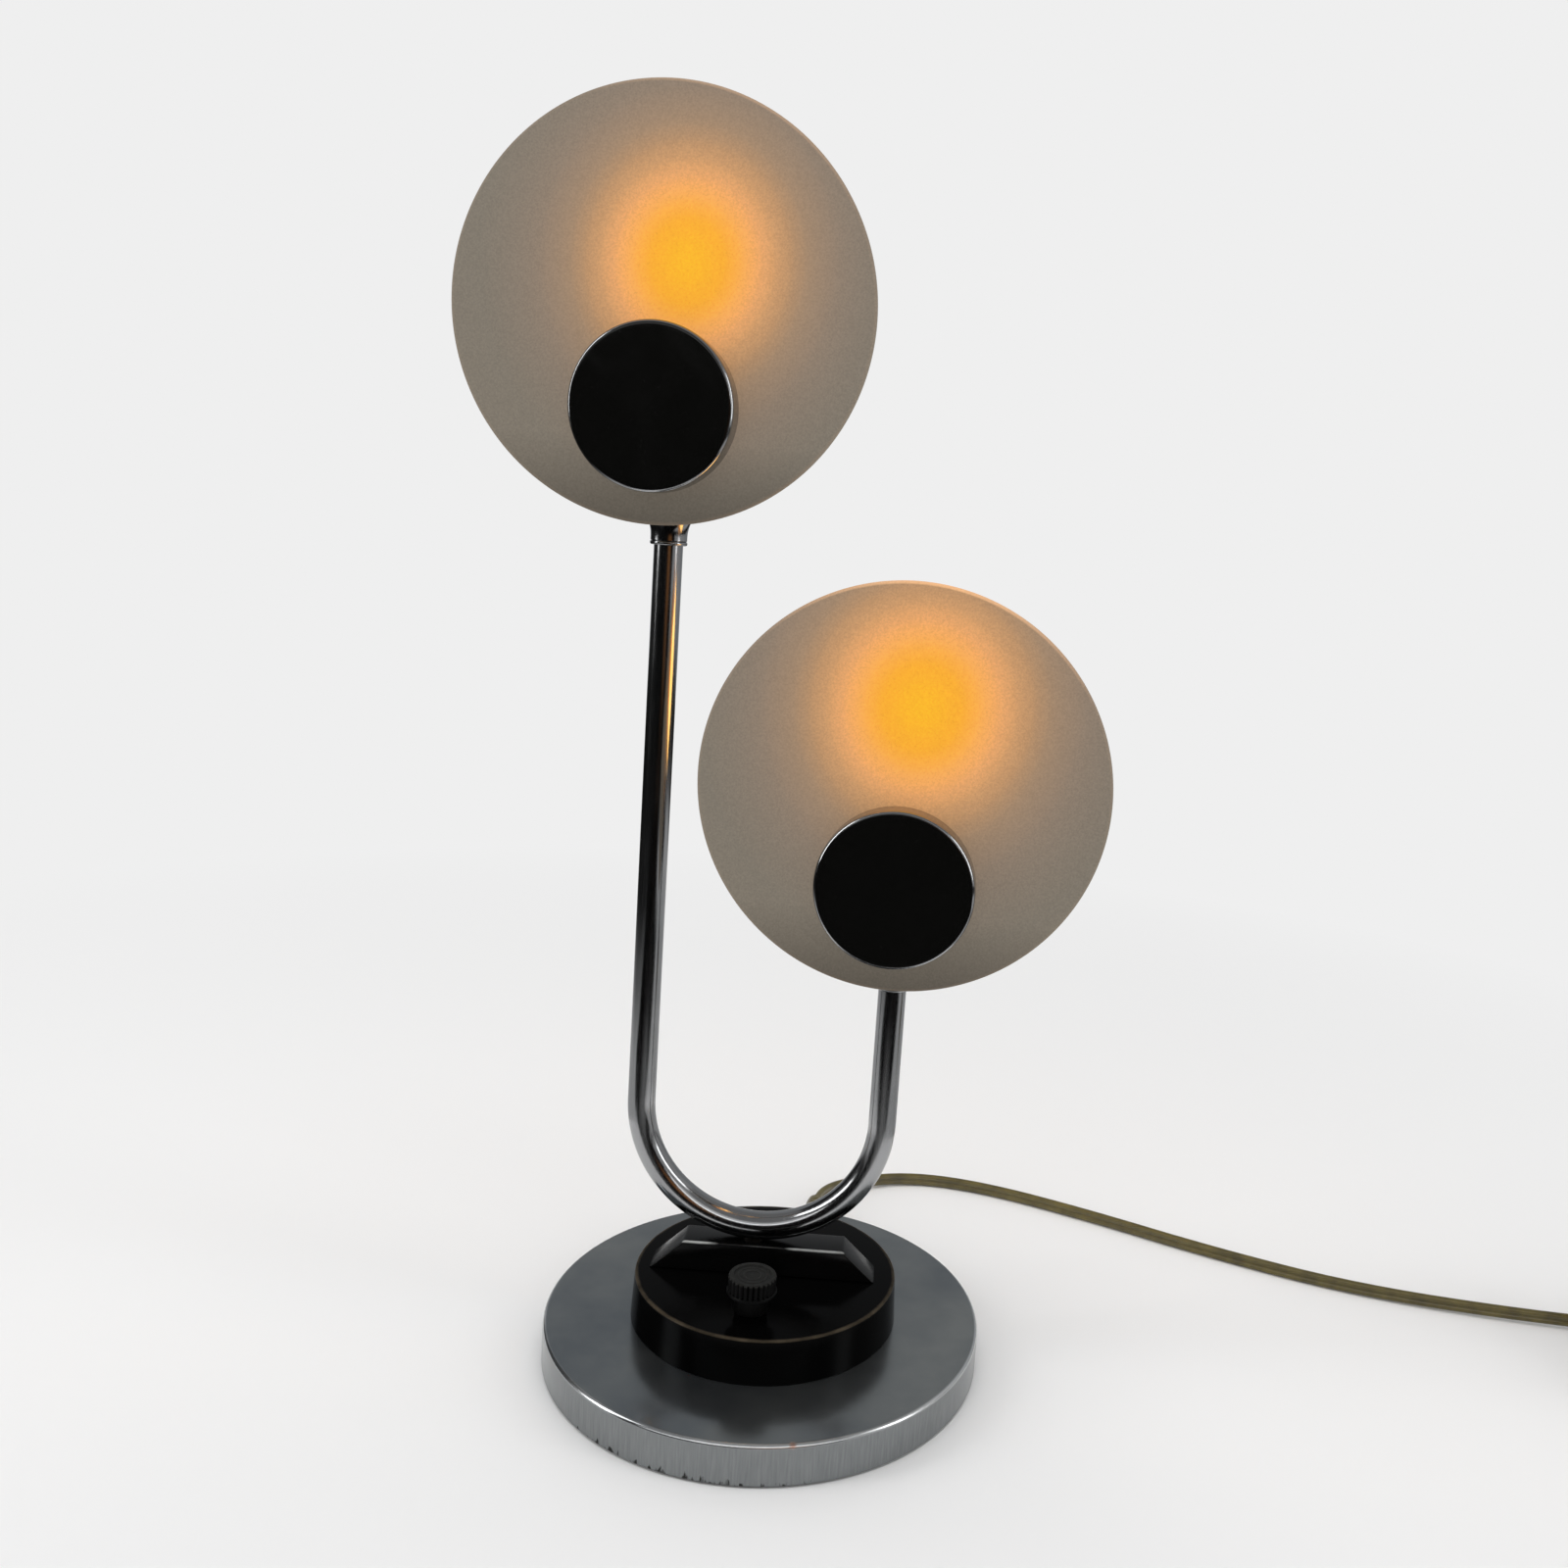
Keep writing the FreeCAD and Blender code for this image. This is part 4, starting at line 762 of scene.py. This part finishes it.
def bridge():
    """Block with sloping ends, screwed down a little out of line with the stem."""
    _, _, middle = span("bridge_block")
    stud = span("stem_nipple")[2]
    foot, top, tall, shift = 83.2, 58.4, 11.4, 4.3
    bm = bmesh.new()
    bmesh.ops.create_cube(bm, size=1.0, matrix=Matrix.Diagonal((foot, BRIDGE_DEEP, tall, 1.0)))
    upper = [vertex for vertex in bm.verts if vertex.co.z > 0]
    bmesh.ops.scale(bm, vec=(top / foot, 1.0, 1.0), verts=upper)
    round_edges(bm, bm.edges, 0.6, 4)
    move(bm, (shift, 0.0, middle.z))
    move(bm, (stud.x, 0.0, 0.0), Matrix.Rotation(BRIDGE_ASKEW, 4, "Z"))
    piece("stem_bridge", bm, [FINISHES["enamel"]], ["bridge_block"])


def stem():
    """One tube bent to a U: a ring spun half a turn, and its two ends drawn up."""
    low, high, _ = span("stem_tube")
    tops = [span(side + "_lampholder_cup")[0].z + TUBE_IN_CUP for side in HEADS]
    left, right = low.x + TUBE_RADIUS, high.x - TUBE_RADIUS
    bend = (right - left) / 2
    height = low.z + TUBE_RADIUS + bend
    bm = bmesh.new()
    ring = bmesh.ops.create_circle(bm, radius=TUBE_RADIUS, segments=48)["verts"]
    move(bm, (left, 0.0, height))
    rim = list({edge for vertex in ring for edge in vertex.link_edges})
    spun = bmesh.ops.spin(
        bm,
        geom=ring + rim,
        axis=(0, 1, 0),
        cent=((left + right) / 2, 0, height),
        angle=-math.pi,
        steps=64,
    )["geom_last"]
    far_rim = [item for item in spun if isinstance(item, bmesh.types.BMEdge)]
    for edges, top in zip((rim, far_rim), tops):
        drawn = bmesh.ops.extrude_edge_only(bm, edges=edges)["geom"]
        lifted = [item for item in drawn if isinstance(item, bmesh.types.BMVert)]
        bmesh.ops.translate(bm, vec=(0, 0, top - height), verts=lifted)
        bmesh.ops.contextual_create(bm, geom=[item for item in drawn if isinstance(item, bmesh.types.BMEdge)])
    bmesh.ops.recalc_face_normals(bm, faces=bm.faces)
    piece("bent_stem", bm, [FINISHES["chrome"]], ["stem_tube"])


def knob():
    """Turned knob: narrow hub, thin flange, ribbed cap and a dished top with two fine rings."""
    low, high, middle = span("control_knob")
    tall = high.z - low.z
    hub, hub_tall, flange, thick, cap, edge = 6.0, 6.5, 8.8, 1.2, 8.4, 0.7
    bore, soft, dish, deep = 4.6, 0.3, 6.4, 0.4
    cap_foot = hub_tall + thick
    outline = [(bore, 0.0), (hub - soft, 0.0), (hub, soft), (hub, hub_tall), (flange - soft, hub_tall)]
    outline += [(flange, hub_tall + soft), (flange, cap_foot - soft), (flange - soft, cap_foot)]
    outline += [(cap, cap_foot + 0.1), (cap, tall - 2.0), (cap, tall - edge)]
    outline += arc((cap, tall - edge), (cap - edge, tall), leave=90.0, steps=5)
    outline += [(dish + 0.2, tall), (dish, tall - deep)]
    for ring in (5.0, 3.0):
        outline += [(ring + 0.5, tall - deep), (ring + 0.3, tall - deep + 0.15)]
        outline += [(ring - 0.3, tall - deep + 0.15), (ring - 0.5, tall - deep)]
    outline += [(0.0, tall - deep)]
    ribs, depth, facets = 28, 0.6, 8
    bm = lathe(outline, ribs * facets)
    for vertex in bm.verts:
        reach = vertex.co.xy.length
        if reach > cap - edge / 2 and cap_foot < vertex.co.z < tall - edge / 3:
            swing = 0.5 + 0.5 * math.cos(ribs * math.atan2(vertex.co.y, vertex.co.x))
            vertex.co.xy *= 1 - depth * swing**3 / reach
    move(bm, (middle.x, middle.y, low.z))
    piece("ribbed_knob", bm, [FINISHES["knob"]], ["control_knob"], body="knob", crease=28.0)


# Heads


def cup_ring(side):
    """Thin ring with a rounded outside, a little slimmer than its solid."""
    low, high, middle = span(side + "_cup_ring")
    slimmer, bulge, tall = 0.4, 0.5, high.z - low.z
    crown = high.x - middle.x - slimmer - bulge
    outline = [(TUBE_BORE, 0.0), (crown, 0.0)]
    outline += arc((crown, 0.0), (crown, tall), leave=0.0, steps=10) + [(TUBE_BORE, tall)]
    shape = move(lathe(outline, 64, closed=True), (middle.x, middle.y, low.z))
    piece(side + "_bright_ring", shape, [FINISHES["chrome"]], [side + "_cup_ring"])


def holder_cup(side):
    """Spun cup with a swept neck: hollow flare from the collar, then a round shoulder into the barrel."""
    low, high, middle = span(side + "_lampholder_cup")
    outer, tall, wall = high.x - middle.x, high.z - low.z, 1.0
    collar, waist, shoulder = (6.3, 1.5), (10.5, 11.0), (outer, 22.0)
    floor, seat = 12.0, 23.0
    outline = [(TUBE_BORE, 0.0), (collar[0] - 0.2, 0.0), (collar[0], 0.2), collar]
    outline += arc(collar, waist, leave=90.0) + arc(waist, shoulder, arrive=90.0)
    outline += [(outer, tall - 0.4), (outer - 0.15, tall - 0.1), (outer - 0.5, tall)]
    outline += [(outer - wall + 0.1, tall - 0.1), (outer - wall, tall - 0.5), (outer - wall, seat)]
    outline += [(waist[0] - 0.6, floor), (TUBE_BORE, floor)]
    shape = move(lathe(outline, 96, closed=True), (middle.x, middle.y, low.z))
    piece(side + "_spun_cup", shape, [FINISHES["chrome"]], [side + "_lampholder_cup"])


def holder_insert(side):
    """Cream moulding in the cup, with a rounded mouth round the screw socket."""
    low, high, middle = span(side + "_lampholder")
    outer, tall = high.x - middle.x, high.z - low.z
    socket, soft, foot, well = 8.6, 0.8, 12.0, 25.0
    outline = [(socket, well), (socket, tall - soft)]
    outline += arc((socket, tall - soft), (socket + soft, tall), leave=90.0, steps=5)
    outline += [(outer - soft, tall)]
    outline += arc((outer - soft, tall), (outer, tall - soft), leave=0.0, steps=5)
    outline += [(outer, foot), (socket, foot)]
    shape = move(lathe(outline, 72, closed=True), (middle.x, middle.y, low.z))
    piece(side + "_cream_holder", shape, [FINISHES["cream"]], [side + "_lampholder"])


def screw_cap(side):
    """Pressed screw cap: rolled thread below a plain skirt."""
    low, high, middle = span(side + "_bulb_screw_cap")
    outer, tall = high.x - middle.x, high.z - low.z
    threads, pitch, depth, foot, samples = 5, 2.8, 0.6, 4.0, 8
    contact, rise = 2.2, 1.0
    outline = [(0.0, 0.0), (contact, 0.0), (contact, rise), (outer - 1.2, foot - rise)]
    for sample in range(threads * samples + 1):
        swing = 0.5 + 0.5 * math.cos(2 * math.pi * sample / samples)
        outline.append((outer - depth * swing, foot + pitch * sample / samples))
    outline += [(outer - 0.3, tall - 0.4), (outer - 0.6, tall), (0.0, tall)]
    shape = move(lathe(outline, 56), (middle.x, middle.y, low.z))
    piece(side + "_rolled_cap", shape, [FINISHES["aluminium"]], [side + "_bulb_screw_cap"])


def candle_bulb(side):
    """Candle bulb: a round belly drawn up to a blunt tip."""
    low, high, middle = span(side + "_bulb_glass")
    belly, tall = high.x - middle.x, high.z - low.z
    neck, widest, shoulder = (6.4, 4.0), (belly, 33.0), (4.2, 67.5)
    outline = [(0.0, 0.0), (neck[0] - 0.3, 0.0), (neck[0], 0.3), neck]
    outline += arc(neck, widest, arrive=90.0, steps=16) + arc(widest, shoulder, leave=90.0, steps=20)
    outline += arc(shoulder, (0.0, tall), arrive=180.0, steps=8)
    shape = move(lathe(outline, 72), (middle.x, middle.y, low.z))
    piece(side + "_candle_bulb", shape, [FINISHES["bulb"]], [side + "_bulb_glass"])


def glass_disc(side, glow_spot, reach):
    """Flat disc with ground, rounded edges."""
    low, high, middle = span(side + "_glass_disc")
    radius, thick, edge = (high.x - low.x) / 2, high.y - low.y, 0.9
    outline = [(0.0, 0.0), (radius * 0.5, 0.0), (radius - edge, 0.0)]
    outline += arc((radius - edge, 0.0), (radius, edge), leave=0.0, steps=5) + [(radius, thick - edge)]
    outline += arc((radius, thick - edge), (radius - edge, thick), leave=90.0, steps=5)
    outline += [(radius * 0.5, thick), (0.0, thick)]
    shape = move(lathe(outline, 192), (middle.x, high.y, middle.z), FORWARD)
    finish = etched_glass(side, glow_spot, reach)
    piece(side + "_etched_disc", shape, [finish], [side + "_glass_disc"])


def front_cap(side):
    """Pressed cap: black gloss over the face, bright from the middle of its rounded edge to the skirt."""
    low, high, middle = span(side + "_glass_cap")
    radius, tall, edge = (high.x - low.x) / 2, high.y - low.y, 1.6
    outline = [(radius - 1.4, 0.0), (radius - 0.3, 0.0), (radius, 0.3), (radius, tall - edge)]
    outline += arc((radius, tall - edge), (radius - edge, tall), leave=90.0, steps=10)
    outline += [(radius * share, tall) for share in (0.9, 0.6, 0.3)] + [(0.0, tall)]
    brim = tall - edge * 0.12  # where the black ends
    shape = paint(lathe(outline, 144), 1, lambda spot: spot.z > brim)
    move(shape, (middle.x, high.y, middle.z), FORWARD)
    finishes = [FINISHES["chrome"], cap_lacquer(side)]
    piece(side + "_front_cap", shape, finishes, [side + "_glass_cap"])


# Middle of the light on each disc, as (x, z), and how far it spreads
GLOW = {"upper": ((-42.2, 384.3), 75.0), "lower": ((43.2, 247.9), 83.0)}

# Nodes that keep their CAD shape, by finish, once each and in each head
KEPT = {
    "iron": ["base_weight"],
    "felt": ["base_felt"],
    "zinc": ["stem_lock_washer", "stem_lock_nut", "dimmer_spindle"],
    "dull_zinc": ["stem_nipple"],
    "phenolic": ["dimmer_body", "dimmer_nut"],
    "flex": ["flex_inner_end"],
}
KEPT_HEAD = {
    "brass": ["thread_sleeve", "centre_contact"],
    "zinc": ["glass_stud"],
    "washer": ["rear_washer", "front_washer"],
    "insulation": ["lamp_wire"],
}


def dress_kept_nodes():
    """Gives the nodes that keep their shape their finishes."""
    wanted = [(finish, node) for finish, nodes in KEPT.items() for node in nodes]
    for side in HEADS:
        wanted += [(finish, side + "_" + node) for finish, nodes in KEPT_HEAD.items() for node in nodes]
    for finish, node in wanted:
        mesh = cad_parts[node].data
        mesh.materials.clear()
        mesh.materials.append(FINISHES[finish])


# Studio


FLOOR_SIDE = 16.0
FLOOR_DROP = 0.0001
FLOOR_LIT, FLOOR_FLAT = 0.25, 0.8  # distances from the lamp between which the floor's shading fades out
CARD_REACH = 3.0
TABLE_HOLE = 0.2
LIT_SPOT = Vector((0.0, 0.0, 0.2))


def sheet(wide, deep):
    """A flat rectangle round the origin."""
    bm = bmesh.new()
    bmesh.ops.create_grid(bm, x_segments=1, y_segments=1, size=0.5)
    bmesh.ops.scale(bm, vec=(wide, deep, 1.0), verts=bm.verts)
    return bm


def stage_look(name):
    """A material with no shader yet; gives it, its tree and its coordinates."""
    made = bpy.data.materials.new(name)
    made.use_nodes = True
    tree = made.node_tree
    tree.nodes.remove(tree.nodes["Principled BSDF"])
    return made, tree, add(tree, "TexCoord").outputs["Object"]


def stage_shape(name, bm, look, matrix):
    """Adds a shape to the studio."""
    mesh = bpy.data.meshes.new(name)
    bm.to_mesh(mesh)
    bm.free()
    mesh.materials.append(look)
    shown = bpy.data.objects.new(name, mesh)
    shown.matrix_world = matrix
    bpy.context.scene.collection.objects.link(shown)
    return shown


def seen_rays(tree):
    """1 on rays that show a thing, straight or by a mirror or glass, and 0 on those that light it."""
    ray = add(tree, "LightPath").outputs
    bent = add(tree, "Math", {0: ray["Is Glossy Ray"], 1: ray["Is Transmission Ray"]}, operation="MAXIMUM")
    return add(tree, "Math", {0: bent, 1: ray["Is Camera Ray"]}, operation="MAXIMUM")


def pale_floor():
    """Matt paper floor, lit round the lamp and fading to the flat backdrop colour."""
    made, tree, place = stage_look("pale_paper")
    away = add(tree, "VectorMath", {0: place}, operation="LENGTH")
    reach = {"From Min": FLOOR_LIT, "From Max": FLOOR_FLAT}
    fade = add(tree, "MapRange", {"Value": away.outputs["Value"], **reach})
    flat = add(tree, "Math", {0: seen_rays(tree), 1: fade}, operation="MULTIPLY")
    paper = add(tree, "BsdfDiffuse", {"Color": hex_colour(BACKDROP)})
    glow = add(tree, "Emission", {"Color": hex_colour(BACKDROP), "Strength": 1.0})
    mixed = add(tree, "MixShader", {0: flat, 1: paper, 2: glow})
    fill(tree, tree.nodes["Material Output"], {"Surface": mixed})
    lowered = Matrix.Translation((0.0, 0.0, -FLOOR_DROP))
    stage_shape("pale_floor", sheet(FLOOR_SIDE, FLOOR_SIDE), made, lowered)


def backdrop():
    """Flat pale surroundings for what is seen and mirrored, and a softer share of them as fill light."""
    world = bpy.data.worlds.new("pale_backdrop")
    world.use_nodes = True
    tree = world.node_tree
    tint = add(
        tree,
        "Mix",
        {"Factor": seen_rays(tree), "A": hex_colour(AMBIENT), "B": hex_colour(BACKDROP)},
        data_type="RGBA",
    )
    fill(tree, tree.nodes["Background"], {"Color": tint.outputs[2]})
    bpy.context.scene.world = world


def card(name, bm, matrix, tones, middle=(0.0, 0.0, 0.0), strength=1.0):
    """Shows a shape only in mirrors, to put its tones on the bright metal; the tones, as (metres, colour),
    run out from the middle."""
    made, tree, place = stage_look(name)
    away = add(tree, "VectorMath", {0: place, 1: middle}, operation="DISTANCE")
    share = add(tree, "MapRange", {"Value": away.outputs["Value"], "From Max": CARD_REACH})
    stops = [(metres / CARD_REACH, code) for metres, code in tones]
    ramp = add(tree, "ValToRGB", {"Fac": share}, stops=stops)
    tone = add(tree, "Emission", {"Color": ramp, "Strength": strength})
    fill(tree, tree.nodes["Material Output"], {"Surface": tone})
    shown = stage_shape(name, bm, made, matrix)
    for ray in ("camera", "diffuse", "shadow", "transmission", "volume_scatter"):
        setattr(shown, "visible_" + ray, False)


def flat_card(name, size, place, turn, tones, **more):
    """A flat card of one tone, or of tones that run out from the middle."""
    tones = tones if isinstance(tones, list) else [(0.0, tones), (CARD_REACH, tones)]
    card(name, sheet(*size), Matrix.Translation(place) @ turn, tones, **more)


def softbox(name, size, place, power):
    """A rectangular light that faces the lamp."""
    lamp = bpy.data.lights.new(name, "AREA")
    lamp.shape = "RECTANGLE"
    lamp.size, lamp.size_y = size
    lamp.energy = power
    shown = bpy.data.objects.new(name, lamp)
    shown.location = place
    away = Vector(place) - LIT_SPOT
    shown.rotation_euler = away.to_track_quat("Z", "Y").to_euler()
    bpy.context.scene.collection.objects.link(shown)


def studio():
    """Floor and backdrop, cards for the bright metal to mirror, and three soft lights."""
    pale_floor()
    backdrop()
    warm = [(0.0, "#A87448"), (0.3, "#90613A"), (0.7, "#141414")]
    flat_card("front_flag", (4.4, 0.84), (0.0, -1.9, 0.42), FORWARD, warm, middle=(0.75, 0.15, 0.0))
    flat_card("front_card", (4.4, 0.8), (0.0, -1.9, 2.2), FORWARD, "#C8C8C8")
    flat_card("front_window", (4.4, 0.25), (0.0, -1.88, 1.05), FORWARD, "#FFFFFF", strength=2.5)
    flat_card("ceiling_card", (3.4, 3.4), (0.0, 0.0, 1.85), UPRIGHT, "#8A8A8A")
    flat_card("back_card", (6.0, 2.6), (0.0, 1.8, 1.25), FORWARD, "#9C9EA0")
    flat_card("left_card", (4.0, 2.6), (-2.1, 0.0, 1.3), FORWARD @ SIDEWAYS, "#2A2A2A")
    flat_card("right_card", (4.0, 2.6), (2.2, 0.0, 1.3), FORWARD @ SIDEWAYS, "#B0B0B0")
    table = lathe([(TABLE_HOLE, 0.0), (CARD_REACH, 0.0)], 48)
    fade = [(0.0, "#B4B4B4"), (0.62, "#C4C4C4"), (0.74, "#787878"), (0.88, "#242424"), (1.2, "#181818")]
    card("table_flag", table, Matrix.Translation((0.0, 0.0, 0.001)), fade, middle=(0.3, 0.1, 0.0))
    shade = [(0.0, "#848484"), (0.15, "#0C0C0C")]
    flat_card("front_shade", (0.75, 1.64), (0.1, -0.98, 0.002), UPRIGHT, shade, middle=(-0.05, 0.77, 0.0))
    softbox("top_softbox", (1.4, 1.4), (0.0, -0.1, 1.9), 12.0)
    softbox("left_softbox", (0.5, 1.4), (-1.5, -0.5, 0.9), 9.0)
    softbox("right_softbox", (0.4, 1.2), (1.6, -0.3, 0.8), 5.0)
    bpy.context.scene.view_settings.view_transform = "Standard"


photo_camera()
flex, flex_path = twin_flex()
relief = cord_bush()
strap = coil_strap()
plug_case, plug_pins = plug()
base_pan()
housing_drum()
bridge()
stem()
knob()
for head in HEADS:
    cup_ring(head)
    holder_cup(head)
    holder_insert(head)
    screw_cap(head)
    candle_bulb(head)
    glass_disc(head, *GLOW[head])
    front_cap(head)
dress_kept_nodes()
studio()
